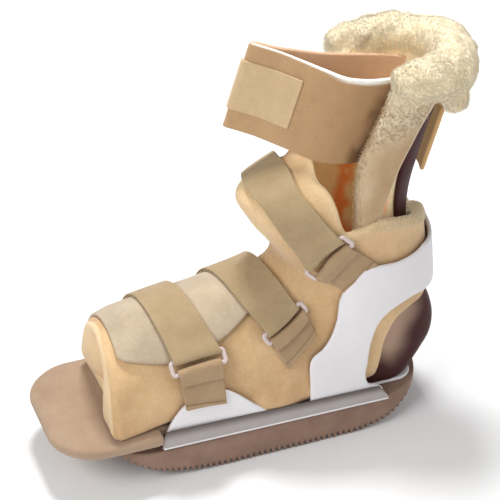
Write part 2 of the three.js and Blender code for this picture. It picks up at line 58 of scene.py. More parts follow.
Rgb = tuple[float, float, float]
Node, Socket, Tree = bpy.types.Node, bpy.types.NodeSocket, bpy.types.NodeTree
MM = 0.001
BODY = "root"
STEPS_A_KNOT = 40
log = logging.getLogger("orthosis")


class Side(Enum):
    """The two sides of the foot: near carries the rings, far is plain."""

    NEAR = 1
    FAR = -1


# Numbers and curves


def spline(rows: Array | tuple, shares: Array) -> Array:
    """Smooth curve through the rows of a table.

    Catmull-Rom: between two rows a cubic whose slope at each row is half the step between its neighbours.

    Args:
        rows: One row a knot, any number of columns.
        shares: Places along the table, 0 at its first row and 1 at its last.

    Returns:
        One row for each share.
    """
    rows = np.asarray(rows, float)
    place = np.clip(np.asarray(shares, float), 0, 1) * (len(rows) - 1)
    index = np.minimum(place.astype(int), len(rows) - 2)
    t = (place - index)[..., None]
    padded = np.concatenate([2 * rows[:1] - rows[1:2], rows, 2 * rows[-1:] - rows[-2:-1]])
    a, b, c, d = (padded[index + k] for k in range(4))
    return b + 0.5 * t * (c - a + t * (2 * a - 5 * b + 4 * c - d + t * (3 * (b - c) + d - a)))


def run_length(points: Array) -> Array:
    """Length along a line of points up to each of them."""
    return np.linalg.norm(np.diff(points, axis=0, prepend=points[:1]), axis=-1).cumsum(axis=0)


def along(rows: Array | tuple, count: int) -> Array:
    """Curve through the rows of a table at evenly spaced lengths.

    Args:
        rows: One row a knot.
        count: Number of points.

    Returns:
        One row for each point.
    """
    dense = spline(rows, np.linspace(0, 1, STEPS_A_KNOT * len(rows)))
    length = run_length(dense)
    wanted = np.linspace(0, length[-1], count)
    return np.stack([np.interp(wanted, length, column) for column in dense.T], axis=1)


def lerp(a: Array, b: Array, share: Array) -> Array:
    """Straight blend from a to b."""
    return a + (b - a) * share


def smooth(low: float, high: float, value: Array) -> Array:
    """Cubic step from 0 at low to 1 at high."""
    t = np.clip((value - low) / (high - low), 0, 1)
    return t * t * (3 - 2 * t)


def edged(count: int, length: float, edge: float) -> Array:
    """Shares from 0 to 1 that crowd together within edge of both ends of a length, for a rounded rim."""
    near = np.array([0, 0.02, 0.1, 0.28, 0.6, 1.0]) * min(edge / length, 0.45)
    return np.concatenate([near, np.linspace(near[-1], 1 - near[-1], count)[1:-1], 1 - near[::-1]])


def rim(distance: Array, radius: float) -> Array:
    """Height share of a quarter round: 0 at the edge and 1 from radius inwards, along an ellipse."""
    return np.sqrt(np.clip(1 - (1 - np.clip(distance / radius, 0, 1)) ** 2, 0, 1))


def from_ends(share: Array, length: Array) -> Array:
    """Distance from the nearer end of a length, for shares along it."""
    return np.minimum(share, 1 - share) * length


def steps_in(count: int, step: float) -> Array:
    """Distance of each of count even rows from the nearer end, as a column."""
    row = np.arange(count)
    return np.minimum(row, row[::-1])[:, None] * step


def cell_number(cells: Array, seed: int) -> Array:
    """Repeatable number from -1 to 1 for each lattice cell, by mixing its three whole indices.

    Args:
        cells: Rows of whole indices.
        seed: Seed of the mixing.

    Returns:
        One number for each row.
    """
    mixed = cells.astype(np.uint64) @ np.array([73856093, 19349663, 83492791], np.uint64)
    mixed = (mixed + np.uint64(seed * 97 + 13)) * np.uint64(2654435761)
    mixed = (mixed >> np.uint64(15)) ^ mixed
    return (mixed % np.uint64(20011)).astype(float) / 10005.0 - 1


def noise(points: Array, cell: float, seed: int, octaves: int = 1) -> Array:
    """Smooth value noise, about -1 to 1: numbers on a cubic lattice of side cell, blended by a cubic fade.

    Each further octave has half the cell and half the height.

    Args:
        points: Where the noise is wanted.
        cell: Side of the lattice.
        seed: Seed of its numbers.
        octaves: How many layers are added up.

    Returns:
        One value for each point.
    """
    total = np.zeros(points.shape[:-1])
    for octave in range(octaves):
        scaled = points * (2**octave / cell) + 1000.5 + 7.3 * octave
        base = np.floor(scaled)
        part = scaled - base
        fade = part * part * (3 - 2 * part)
        for corner in itertools.product((0, 1), repeat=3):
            weight = np.prod(np.where(corner, fade, 1 - fade), axis=-1)
            total += weight * cell_number(base + corner, seed + octave) / 2**octave
    return total


def unit(vectors: Array) -> Array:
    """Vectors scaled to length 1."""
    return vectors / np.maximum(np.linalg.norm(vectors, axis=-1, keepdims=True), 1e-9)


def grid_normals(grid: Array) -> Array:
    """Unit normals of a grid: the cross product of the steps along its rows and its columns."""
    return unit(np.cross(np.gradient(grid, axis=0), np.gradient(grid, axis=1)))


# Meshes


def grid_faces(index: Array, wrap_rows: bool = False, wrap_columns: bool = False) -> Array:
    """Quads of a grid of vertex numbers, closed on itself where it wraps.

    Args:
        index: The vertex numbers.
        wrap_rows: Whether the last row joins the first.
        wrap_columns: Whether the last column joins the first.

    Returns:
        One quad a row.
    """
    if wrap_rows:
        index = np.concatenate([index, index[:1]])
    if wrap_columns:
        index = np.concatenate([index, index[:, :1]], axis=1)
    corners = [index[:-1, :-1], index[1:, :-1], index[1:, 1:], index[:-1, 1:]]
    return np.stack(corners, axis=-1).reshape(-1, 4)


@dataclass
class Surface:
    """Vertices, faces and what is painted on the vertices, before they become a mesh.

    Attributes:
        points: One row a vertex, in millimetres.
        faces: Arrays of vertex numbers, each with one face a row.
        uv: Place of each vertex on the cloth, in millimetres.
        marks: Named numbers on the vertices, read by the finishes.
    """

    points: Array
    faces: list[Array]
    uv: Array | None = None
    marks: dict[str, Array] = field(default_factory=dict)

    def outward(self) -> "Surface":
        """Turn the faces round if the volume they close is negative.

        Returns:
            The surface itself.
        """
        volume = 0.0
        for faces in self.faces:
            a = self.points[faces[:, 0]]
            for k in range(1, faces.shape[1] - 1):
                b, c = self.points[faces[:, k]], self.points[faces[:, k + 1]]
                volume += np.einsum("ij,ij->", a, np.cross(b, c))
        if volume < 0:
            self.faces = [faces[:, ::-1] for faces in self.faces]
        return self

    def triangles(self) -> Array:
        """All faces as triangles."""
        parts = [f[:, [0, k, k + 1]] for f in self.faces for k in range(1, f.shape[1] - 1)]
        return np.concatenate(parts)


def joined(surfaces: list[Surface]) -> Surface:
    """One surface of several, keeping the marks and cloth places that all of them have.

    Args:
        surfaces: The surfaces.

    Returns:
        All of them as one.
    """
    starts = np.cumsum([0] + [len(s.points) for s in surfaces[:-1]])
    faces = [f + start for s, start in zip(surfaces, starts) for f in s.faces]
    names = set.intersection(*(set(s.marks) for s in surfaces))
    marks = {name: np.concatenate([s.marks[name] for s in surfaces]) for name in names}
    uv = None
    if all(s.uv is not None for s in surfaces):
        uv = np.concatenate([s.uv for s in surfaces])
    return Surface(np.concatenate([s.points for s in surfaces]), faces, uv, marks)


def sheet(
    middle: Array,
    half: Array,
    seam: Array | None = None,
    marks: dict | None = None,
    normals: Array | None = None,
) -> Surface:
    """Closed sheet about a grid: every point moved out and in along the normal by its half thickness.

    The two skins share their vertices along open edges, where the half thickness runs out to nothing.

    Args:
        middle: Grid of points on the middle surface.
        half: Half thickness at each point.
        seam: The rows whose last column is the same place as their first, so that the sheet closes there.
        marks: Numbers on the grid, carried to both skins.
        normals: Directions to use in place of the grid's own normals.

    Returns:
        The surface, with uv as lengths along the grid and a mark "skin" of 1 outside and 0 inside.
    """
    rows, columns = half.shape
    shut = np.zeros(rows, bool) if seam is None else seam
    across = np.gradient(middle, axis=1)
    joint = middle[:, 1] - middle[:, -2]
    across[:, 0] = np.where(shut[:, None], joint, across[:, 0])
    across[:, -1] = np.where(shut[:, None], joint, across[:, -1])
    if normals is None:
        normals = unit(np.cross(np.gradient(middle, axis=0), across))
    edge = np.zeros((rows, columns), bool)
    edge[[0, -1]] = True
    edge[:, [0, -1]] |= ~shut[:, None]
    outer = np.arange(rows * columns).reshape(rows, columns)
    inner = np.where(edge, outer, outer + rows * columns)
    for skin in (outer, inner):
        skin[shut, -1] = skin[shut, 0]
    half = np.where(edge, 0, half)[..., None]
    skins = [middle + normals * half, middle - normals * half]
    points = np.concatenate([skin.reshape(-1, 3) for skin in skins])
    run, span = run_length(middle), run_length(middle.swapaxes(0, 1)).T
    uv = np.tile(np.stack([run, span], axis=-1).reshape(-1, 2), (2, 1))
    carried = {name: np.tile(np.asarray(value, float).ravel(), 2) for name, value in (marks or {}).items()}
    carried["skin"] = np.repeat([1.0, 0.0], rows * columns)
    faces = [grid_faces(outer), grid_faces(inner)[:, ::-1]]
    used = np.unique(np.concatenate([f.ravel() for f in faces]))
    place = np.zeros(len(points), int)
    place[used] = np.arange(len(used))
    carried = {name: value[used] for name, value in carried.items()}
    return Surface(points[used], [place[f] for f in faces], uv[used], carried).outward()


def capped(rings: Array, marks: dict | None = None) -> Surface:
    """Closed body through rings of points, with a fan of triangles over each end.

    Args:
        rings: Rows of points, one row a ring.
        marks: Numbers on the rings' points.

    Returns:
        The body, with uv as lengths along and round it.
    """
    rows, columns = rings.shape[:2]
    index = np.arange(rows * columns).reshape(rows, columns)
    points = np.concatenate([rings.reshape(-1, 3), rings[[0, -1]].mean(axis=1)])
    run, span = run_length(rings), run_length(rings.swapaxes(0, 1)).T
    uv = np.concatenate([np.stack([run, span], axis=-1).reshape(-1, 2), [[0, 0], [run.max(), 0]]])
    first, last = index[0], index[-1]
    centre = np.full(columns, rows * columns)
    fans = [
        np.stack([centre, first, np.roll(first, -1)], axis=1),
        np.stack([centre + 1, np.roll(last, -1), last], axis=1),
    ]
    carried = {}
    for name, value in (marks or {}).items():
        value = np.asarray(value, float)
        carried[name] = np.concatenate([value.ravel(), value[[0, -1]].mean(axis=1)])
    return Surface(points, [grid_faces(index, False, True), *fans], uv, carried).outward()


def plate(outline: Array, bottom: float, top: float, edge: float, crown: float = 0.0) -> Surface:
    """Flat slab over a plan outline, with round edges and a slightly domed top.

    Rings run from the middle of the underside, out round the rounded edge, to the middle of the top. The
    outline is drawn in towards its centre by the rounding at each ring.

    Args:
        outline: Plan points, in order.
        bottom: Height of the underside.
        top: Height of the top at its edge.
        edge: Radius of the rounded edge.
        crown: How far the middle of the top stands above its edge.

    Returns:
        The slab.
    """
    turn = np.linspace(-0.5 * np.pi, 0.5 * np.pi, 11)
    inset = np.concatenate([[40, 12], edge * (1 - np.cos(turn)), [8, 20, 36]])
    height = np.concatenate([[0, 0], 0.5 * (1 + np.sin(turn)), [1, 1, 1]])
    dome = np.concatenate([np.zeros(13), [0.45, 0.85, 1.0]]) * crown
    centre = 0.5 * (outline.min(axis=0) + outline.max(axis=0))
    reach = np.linalg.norm(outline - centre, axis=1)
    share = 1 - inset[:, None] / np.maximum(reach, 41)[None]
    flat = centre + (outline - centre)[None] * share[..., None]
    level = np.broadcast_to((lerp(bottom, top, height) + dome)[:, None, None], share.shape + (1,))
    return capped(np.concatenate([flat, level], axis=-1))


def rounded_outline(front: float, rear: float, half: float, front_radius: float, rear_radius: float) -> Array:
    """Plan outline, symmetric about Y: straight sides and a quarter circle at each corner.

    Args:
        front: Front end.
        rear: Rear end.
        half: Half width.
        front_radius: Radius of the front corners.
        rear_radius: Radius of the rear corners.

    Returns:
        Rows of x and y, from the middle of the front round the near side.
    """
    turn = np.linspace(0, 0.5 * np.pi, 40)
    quarter = np.stack([np.sin(turn), -np.cos(turn)], axis=1)
    fore = np.array([half - front_radius, front + front_radius]) + front_radius * quarter
    aft = np.array([half - rear_radius, rear - rear_radius]) + rear_radius * quarter[::-1] * [1, -1]
    sides = np.stack([np.full(30, half), np.linspace(fore[-1, 1], aft[0, 1], 30)], axis=1)[1:-1]
    near = np.concatenate([fore, sides, aft])
    return np.concatenate([near, near[::-1] * [-1, 1]])


def mesh_of(name: str, surface: Surface) -> bpy.types.Mesh:
    """Mesh of a surface, in metres, with its cloth places and marks.

    Args:
        name: Name of the mesh.
        surface: Its vertices and faces.

    Returns:
        The new mesh.
    """
    mesh = bpy.data.meshes.new(name)
    corners = np.concatenate([f.ravel() for f in surface.faces]).astype(np.int32)
    sizes = np.concatenate([np.full(len(f), f.shape[1]) for f in surface.faces])
    starts = np.concatenate([[0], np.cumsum(sizes)[:-1]]).astype(np.int32)
    mesh.vertices.add(len(surface.points))
    mesh.loops.add(len(corners))
    mesh.polygons.add(len(sizes))
    mesh.vertices.foreach_set("co", (surface.points * MM).astype(np.float32).ravel())
    mesh.loops.foreach_set("vertex_index", corners)
    mesh.polygons.foreach_set("loop_start", starts)
    mesh.polygons.foreach_set("use_smooth", np.ones(len(sizes), bool))
    if surface.uv is not None:
        layer = mesh.uv_layers.new(name="Cloth")
        layer.data.foreach_set("uv", (surface.uv[corners] * MM).astype(np.float32).ravel())
    for mark, value in surface.marks.items():
        kind, field_name = ("FLOAT", "value") if value.ndim == 1 else ("FLOAT_VECTOR", "vector")
        attribute = mesh.attributes.new(mark, kind, "POINT")
        attribute.data.foreach_set(field_name, value.astype(np.float32).ravel())
    mesh.update(calc_edges=True)
    mesh.validate()
    return mesh


def lay(name: str, surface: Surface, finish: "Finish", slot: str, *nodes: str) -> bpy.types.Object:
    """Make a mesh object of a surface, dress it and fasten it to the frame.

    Args:
        name: Name of the piece.
        surface: Its vertices and faces.
        finish: Its finish.
        slot: Name of a material slot; not used.
        nodes: The solids that it stands for.

    Returns:
        The new object.
    """
    mesh = mesh_of(name, surface)
    piece = bpy.data.objects.new(name, mesh)
    bpy.context.scene.collection.objects.link(piece)
    piece.data.materials.append(finish.material())
    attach(piece, BODY)
    if nodes:
        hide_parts(*nodes)
    log.info("%s: %d vertices, %d faces", name, len(surface.points), len(mesh.polygons))
    return piece


# Finishes


def linear(*rgb: float) -> tuple[float, ...]:
    """Scene colour, with alpha, of a screen colour.

    Args:
        rgb: Red, green and blue from 0 to 255.

    Returns:
        The four shares.
    """
    share = np.array(rgb) / 255
    scene = np.where(share <= 0.04045, share / 12.92, ((share + 0.055) / 1.055) ** 2.4)
    return (*scene.tolist(), 1.0)


class Nodes:
    """Short way to add nodes to a tree and join them."""

    def __init__(self, tree: Tree) -> None:
        """Keep the tree that nodes go to."""
        self.tree = tree

    def add(self, kind: str, inputs: dict | None = None, **settings: object) -> Node:
        """Add a node.

        Args:
            kind: Its type name.
            inputs: Input names or numbers, each with a constant or the socket to join.
            settings: Properties of the node.

        Returns:
            The node.
        """
        node = self.tree.nodes.new(kind)
        for name, value in settings.items():
            setattr(node, name, value)
        for name, value in (inputs or {}).items():
            if isinstance(value, Socket):
                self.join(value, node.inputs[name])
            else:
                node.inputs[name].default_value = value
        return node

    def join(self, socket: Socket, place: Socket) -> None:
        """Join an output to an input."""
        self.tree.links.new(socket, place)

    def preset(self, node: Node, values: dict[str, float]) -> None:
        """Set constants on a node's inputs."""
        for name, value in values.items():
            node.inputs[name].default_value = value

    def math(self, operation: str, *values: object) -> Socket:
        """Result of a math node on constants or sockets."""
        return self.add("ShaderNodeMath", dict(enumerate(values)), operation=operation).outputs[0]

    def mix(self, share: object, first: object, second: object) -> Socket:
        """Blend of two colours."""
        inputs = {"Factor": share, 6: first, 7: second}
        return self.add("ShaderNodeMix", inputs, data_type="RGBA").outputs[2]

    def group(self, tree: Tree, inputs: dict) -> Node:
        """Node that uses a shared group."""
        return self.add("ShaderNodeGroup", inputs, node_tree=tree)


def shared_group(name: str, inputs: dict, outputs: dict) -> tuple[Tree, Nodes, dict, Node]:
    """Start a node group that several finishes share.

    Args:
        name: Name of the group.
        inputs: Socket type and starting value by name.
        outputs: Socket type by name.

    Returns:
        The tree, a way to add to it, its input sockets and its output node.
    """
    tree = bpy.data.node_groups.new(name, "ShaderNodeTree")
    for label, (kind, value) in inputs.items():
        tree.interface.new_socket(label, in_out="INPUT", socket_type=kind).default_value = value
    for label, kind in outputs.items():
        tree.interface.new_socket(label, in_out="OUTPUT", socket_type=kind)
    nodes = Nodes(tree)
    return tree, nodes, nodes.add("NodeGroupInput").outputs, nodes.add("NodeGroupOutput")


FLOAT, COLOUR = "NodeSocketFloat", "NodeSocketColor"
GREY = (0.5, 0.5, 0.5, 1.0)


@functools.cache
def mottle_group() -> Tree:
    """Colour with soft patches of a second one: noise over object space, stretched to a mask.

    Returns:
        The group, made once.
    """
    inputs = {
        "Colour": (COLOUR, GREY), "Patch": (COLOUR, GREY), "Size": (FLOAT, 50.0), "Amount": (FLOAT, 1.0),
    }
    tree, nodes, given, out = shared_group("Soft patches", inputs, {"Colour": COLOUR, "Mask": FLOAT})
    place = nodes.add("ShaderNodeTexCoord").outputs["Object"]
    cloud = nodes.add("ShaderNodeTexNoise", {"Vector": place, "Scale": given["Size"], "Detail": 5.0})
    span = {"Value": cloud.outputs["Fac"], "From Min": 0.34, "From Max": 0.68}
    mask = nodes.add("ShaderNodeMapRange", span).outputs["Result"]
    share = nodes.math("MULTIPLY", mask, given["Amount"])
    nodes.join(nodes.mix(share, given["Colour"], given["Patch"]), out.inputs["Colour"])
    nodes.join(mask, out.inputs["Mask"])
    return tree


@functools.cache
def nap_group() -> Tree:
    """Height of a short nap or a moulded grain: fine noise over object space plus a coarser one.

    Returns:
        The group, made once.
    """
    inputs = {"Size": (FLOAT, 900.0), "Coarse": (FLOAT, 0.35)}
    tree, nodes, given, out = shared_group("Nap", inputs, {"Height": FLOAT})
    place = nodes.add("ShaderNodeTexCoord").outputs["Object"]
    fine = nodes.add("ShaderNodeTexNoise", {"Vector": place, "Scale": given["Size"], "Detail": 3.0})
    wide = nodes.math("MULTIPLY", given["Size"], 0.16)
    slow = nodes.add("ShaderNodeTexNoise", {"Vector": place, "Scale": wide, "Detail": 2.0})
    broad = nodes.math("MULTIPLY", slow.outputs["Fac"], given["Coarse"])
    height = nodes.math("ADD", fine.outputs["Fac"], broad)
    nodes.join(height, out.inputs["Height"])
    return tree


@functools.cache
def weave_group() -> Tree:
    """Height of a woven band: sine threads across its length and width, taken from its place on the cloth.

    Returns:
        The group, made once.
    """
    tree, nodes, given, out = shared_group("Weave", {"Threads": (FLOAT, 800.0)}, {"Height": FLOAT})
    cloth = nodes.add("ShaderNodeUVMap", uv_map="Cloth").outputs["UV"]
    split = nodes.add("ShaderNodeSeparateXYZ", {"Vector": cloth}).outputs
    turns = nodes.math("MULTIPLY", given["Threads"], 2 * math.pi)
    long = nodes.math("SINE", nodes.math("MULTIPLY", split["X"], turns))
    wide = nodes.math("SINE", nodes.math("MULTIPLY", split["Y"], turns))
    nodes.join(nodes.math("MULTIPLY", long, wide), out.inputs["Height"])
    return tree


@dataclass(frozen=True)
class Finish:
    """Plain finish: a colour with soft patches of a second one.

    Attributes:
        name: Name of the material.
        colour: Main screen colour.
        patch: Screen colour of the patches.
        size: Patches a metre.
        amount: Strength of the patches.
        roughness: Roughness of the surface.
        marked: Names of marks on the mesh, each with the screen colour that shows there.
    """

    name: str
    colour: Rgb
    patch: Rgb
    size: float = 45.0
    amount: float = 0.6
    roughness: float = 0.9
    marked: tuple[tuple[str, Rgb], ...] = ()

    def material(self) -> bpy.types.Material:
        """The finish as a material.

        Returns:
            The material, made once.
        """
        made = bpy.data.materials.get(self.name)
        if made is None:
            made = bpy.data.materials.new(self.name)
            made.use_nodes = True
            shader = made.node_tree.nodes["Principled BSDF"]
            self.dress(Nodes(made.node_tree), shader)
        return made

    def base(self, nodes: Nodes) -> Socket:
        """Mottled base colour with its marked places.

        Args:
            nodes: The material's nodes.

        Returns:
            The socket that gives the colour.
        """
        inputs = {"Colour": linear(*self.colour), "Patch": linear(*self.patch), "Size": self.size}
        colour = nodes.group(mottle_group(), {**inputs, "Amount": self.amount}).outputs["Colour"]
        for mark, other in self.marked:
            share = nodes.add("ShaderNodeAttribute", attribute_name=mark).outputs["Fac"]
            colour = nodes.mix(share, colour, linear(*other))
        return colour

    def dress(self, nodes: Nodes, shader: Node) -> None:
        """Set up the shader; each kind of finish does it in its own way.

        Args:
            nodes: The material's nodes.
            shader: Its shader.
        """
        nodes.join(self.base(nodes), shader.inputs["Base Color"])
        nodes.preset(shader, {"Roughness": self.roughness})

    def bump(self, nodes: Nodes, shader: Node, height: Socket, depth: float) -> None:
        """Join a height to the shader's normal, depth in millimetres."""
        relief = nodes.add("ShaderNodeBump", {"Height": height, "Distance": depth * MM, "Strength": 1.0})
        nodes.join(relief.outputs["Normal"], shader.inputs["Normal"])


@dataclass(frozen=True)
class Napped(Finish):
    """Suede, fleece or brushed cloth.

    Attributes:
        nap: Fineness of the nap, in grains a metre.
        depth: Height of the nap in millimetres.
        sheen: Strength of the soft rim light.
        glow: Strength of the light it gives off in its own colour: painted light.
    """

    nap: float = 900.0
    depth: float = 0.35
    sheen: float = 0.35
    glow: float = 0.0

    def dress(self, nodes: Nodes, shader: Node) -> None:
        """Set up the shader with a nap."""
        colour = self.base(nodes)
        height = nodes.group(nap_group(), {"Size": self.nap, "Coarse": 0.8}).outputs["Height"]
        span = {"Value": height, "From Min": 0.45, "From Max": 1.3, "To Min": 0.82}
        shade = nodes.add("ShaderNodeMapRange", span)
        lit = nodes.add("ShaderNodeHueSaturation", {"Value": shade.outputs["Result"], "Color": colour})
        nodes.join(lit.outputs["Color"], shader.inputs["Base Color"])
        self.bump(nodes, shader, height, self.depth)
        nodes.join(lit.outputs["Color"], shader.inputs["Emission Color"])
        nodes.preset(shader, {"Roughness": self.roughness, "Specular IOR Level": 0.1})
        nodes.preset(shader, {"Sheen Weight": self.sheen, "Sheen Roughness": 0.6})
        nodes.preset(shader, {"Emission Strength": self.glow})


@dataclass(frozen=True)
class Woven(Finish):
    """Woven webbing with a faint fuzz.

    Attributes:
        threads: Threads a metre.
        depth: Height of the threads in millimetres.
    """

    threads: float = 700.0
    depth: float = 0.25

    def dress(self, nodes: Nodes, shader: Node) -> None:
        """Set up the shader with its weave."""
        weave = nodes.group(weave_group(), {"Threads": self.threads}).outputs["Height"]
        fuzz = nodes.group(nap_group(), {"Size": 2.2 * self.threads, "Coarse": 0.6}).outputs["Height"]
        height = nodes.math("MULTIPLY_ADD", weave, 0.3, fuzz)
        span = {"Value": height, "From Min": 0.3, "From Max": 1.2, "To Min": 0.78}
        shade = nodes.add("ShaderNodeMapRange", span)
        tone = {"Value": shade.outputs["Result"], "Color": self.base(nodes)}
        lit = nodes.add("ShaderNodeHueSaturation", tone)
        nodes.join(lit.outputs["Color"], shader.inputs["Base Color"])
        self.bump(nodes, shader, height, self.depth)
        constants = {"Roughness": self.roughness, "Specular IOR Level": 0.15, "Sheen Weight": 0.2}
        nodes.preset(shader, constants)


@dataclass(frozen=True)
class Moulded(Finish):
    """Moulded plastic or rubber with a fine grain.

    Attributes:
        grain: Fineness of the grain, in grains a metre.
        depth: Height of the grain in millimetres.
        coat: Strength of the clear gloss over it.
        wear: How far the roughness varies over the patches.
        shine: Strength of the plain reflection.
    """

    grain: float = 700.0
    depth: float = 0.05
    coat: float = 0.0
    wear: float = 0.1
    shine: float = 0.5

    def dress(self, nodes: Nodes, shader: Node) -> None:
        """Set up the shader with grain, uneven gloss and a coat."""
        nodes.join(self.base(nodes), shader.inputs["Base Color"])
        inputs = {"Colour": GREY, "Patch": GREY, "Size": 2.0 * self.size, "Amount": 1.0}
        mask = nodes.group(mottle_group(), inputs).outputs["Mask"]
        rough = nodes.math("MULTIPLY_ADD", mask, self.wear, self.roughness)
        nodes.join(rough, shader.inputs["Roughness"])
        height = nodes.group(nap_group(), {"Size": self.grain, "Coarse": 0.5}).outputs["Height"]
        self.bump(nodes, shader, height, self.depth)
        constants = {"Specular IOR Level": self.shine, "Coat Weight": self.coat, "Coat Roughness": 0.12}
        nodes.preset(shader, constants)


@dataclass(frozen=True)
class Glowing(Finish):
    """Finish that also gives back some light of its own colour.

    Attributes:
        glow: Strength of that light.
    """

    glow: float = 0.1

    def dress(self, nodes: Nodes, shader: Node) -> None:
        """Set up the shader with its own light."""
        colour = self.base(nodes)
        nodes.join(colour, shader.inputs["Base Color"])
        nodes.join(colour, shader.inputs["Emission Color"])
        nodes.preset(shader, {"Roughness": self.roughness, "Specular IOR Level": 0.05})
        nodes.preset(shader, {"Emission Strength": self.glow})


@dataclass(frozen=True)
class Pile(Glowing):
    """Loose hairs, lit as the surface they grow from, with a little glow of their own colour as painted
    light.
    """

    def dress(self, nodes: Nodes, shader: Node) -> None:
        """Set up the shader with the hairs' own lie as its normal."""
        super().dress(nodes, shader)
        lie = nodes.add("ShaderNodeAttribute", attribute_name="lie").outputs["Vector"]
        turned = nodes.add("ShaderNodeVectorTransform", {"Vector": lie}, vector_type="NORMAL")
        nodes.join(turned.outputs["Vector"], shader.inputs["Normal"])


# Each finish: name, colour, patch colour, patches a metre, their strength, roughness, then what is its own
# The groove colour of the sole is painted shade in the hollows between its ribs.
RUBBER = Moulded(
    "Tan sole rubber", (148, 119, 103), (130, 102, 87), 60, 0.7, 0.8,
    marked=(("groove", (52, 40, 36)),), grain=1100, depth=0.25,
)
PLATE_COVER = Napped(
    "Toe plate cover", (172, 146, 122), (158, 131, 107), 30, 0.7, 0.95, nap=600, depth=0.3, sheen=0.2
)
WHITE_PLASTIC = Moulded(
    "White shell plastic", (226, 223, 225), (219, 215, 218), 25, 0.6, 0.42, grain=500, depth=0.02
)
# The edge colour of the grey strip is painted shade: the strip darkens towards its upper edge, tucked under
# the liner.
GREY_STRIP = Moulded(
    "Grey strip", (168, 160, 158), (156, 147, 144), 50, 0.6, 0.42,
    marked=(("edge", (92, 82, 78)),), grain=700, depth=0.03,
)
# The pale colour on the splint is a painted reflection of the pale floor on the sides of the glossy heel cup.
MAROON = Moulded(
    "Maroon splint plastic", (70, 37, 37), (56, 28, 29), 22, 0.6, 0.5,
    marked=(("bloom", (182, 154, 134)),), grain=420, depth=0.03, coat=0.04, wear=0.1, shine=0.08,
)
# The lining colour of the suede marks its fleece lining and rims, and is also painted light on the front of
# the tongue; the orange colour is painted shade deep in the toe slit.
SUEDE = Napped(
    "Liner suede", (202, 164, 119), (224, 190, 144), 28, 1.0, 0.95,
    marked=(("lined", (240, 210, 164)), ("warm", (236, 150, 84))), nap=420, depth=0.5, sheen=0.25,
)
FLAP_SUEDE = Napped(
    "Flap suede", (181, 163, 138), (198, 180, 154), 40, 0.9, 0.95, nap=380, depth=0.45, sheen=0.25
)
LAPEL_SUEDE = Napped(
    "Lapel suede", (178, 146, 106), (196, 162, 122), 45, 0.8, 0.95,
    marked=(("fleecy", (226, 208, 178)), ("piping", (226, 208, 178))), nap=500, depth=0.5, sheen=0.3,
)
# The yellow colour of the fleece is painted shade in the hollow inside the roll, with some random patches of
# the same tone; the orange is painted shade deep in the trough; the glow paints in light.
FLEECE = Napped(
    "Cream fleece", (243, 229, 197), (238, 217, 174), 70, 0.6, 1.0,
    marked=(("honey", (250, 217, 160)), ("warm", (244, 124, 30))), nap=420, depth=0.6, sheen=0.4, glow=0.06,
)
# The glow of the pile is painted light that keeps the hairs as bright as the surface they grow from.
PILE = Pile(
    "Cream pile", (247, 233, 203), (242, 222, 180), 60, 0.6, 1.0,
    marked=(("tan", (196, 165, 126)),), glow=0.34,
)
# On the calf strap cloth, the lining colour is painted light on one face, the shade colour is painted shade
# towards the near end, the brown is a painted shadow where the lapel overlaps it, and the glow paints in
# light; the white is its cut edge.
CALF_CLOTH = Napped(
    "Calf strap cloth", (194, 158, 118), (180, 144, 104), 60, 0.6, 0.95,
    marked=(
        ("lined", (222, 182, 146)), ("shade", (168, 131, 92)), ("stain", (112, 74, 36)),
        ("edge", (244, 240, 232)),
    ),
    nap=700, depth=0.3, sheen=0.2, glow=0.02,
)
# A lighter, glowing copy of the calf strap cloth: painted light on the back piece, which sits in shade behind
# the splint.
LIT_BACK_CLOTH = Napped(
    "Calf strap back cloth", (204, 165, 117), (190, 151, 103), 60, 0.6, 0.95,
    nap=700, depth=0.3, sheen=0.2, glow=0.3,
)
CLOSURE_CLOTH = Napped(
    "Closure cloth", (210, 182, 142), (200, 171, 130), 60, 0.5, 0.95, nap=1300, depth=0.2, sheen=0.3
)
WEBBING = Woven("Khaki webbing", (180, 157, 122), (167, 143, 107), 60, 0.6, 0.9)
ANCHOR_WEBBING = Woven("Brown webbing", (180, 152, 119), (168, 139, 105), 60, 0.6, 0.9)
RING_PLASTIC = Moulded(
    "Pale ring plastic", (206, 188, 184), (196, 176, 172), 40, 0.4, 0.35, grain=800, depth=0.02, coat=0.2
)
FLOOR_WHITE = Glowing("Studio floor", (236, 236, 236), (236, 236, 236), roughness=1.0, glow=0.05)


# The shape of the foot


BOOT_SECTIONS = np.array([
    # top y, top z, base y, base z, half width, share at the widest, squareness of the base
    (-107, 107, -110, 43.2, 48.0, 0.80, 9.0),
    (-82, 112, -82, 43.2, 46.4, 0.78, 9.0),
    (-54, 117, -50, 42.6, 46.2, 0.76, 9.0),
    (-26, 121, -18, 38.0, 46.8, 0.73, 9.0),
    (0, 125.5, 14, 37.0, 47.2, 0.70, 9.0),
    (16, 131, 46, 35.5, 46.8, 0.66, 8.0),
    (23, 138, 86, 35.0, 46.4, 0.61, 6.0),
    (21, 147, 120, 44.0, 46.4, 0.58, 3.0),
    (13, 158, 136, 66.0, 46.4, 0.56, 2.4),
    (3, 172, 141, 90.0, 46.4, 0.55, 2.4),
    (-4, 188, 140.5, 112, 46.4, 0.54, 2.4),
    (6, 199, 138, 136, 46.2, 0.52, 2.4),
    (38, 212, 134, 164, 46.0, 0.50, 2.4),
])


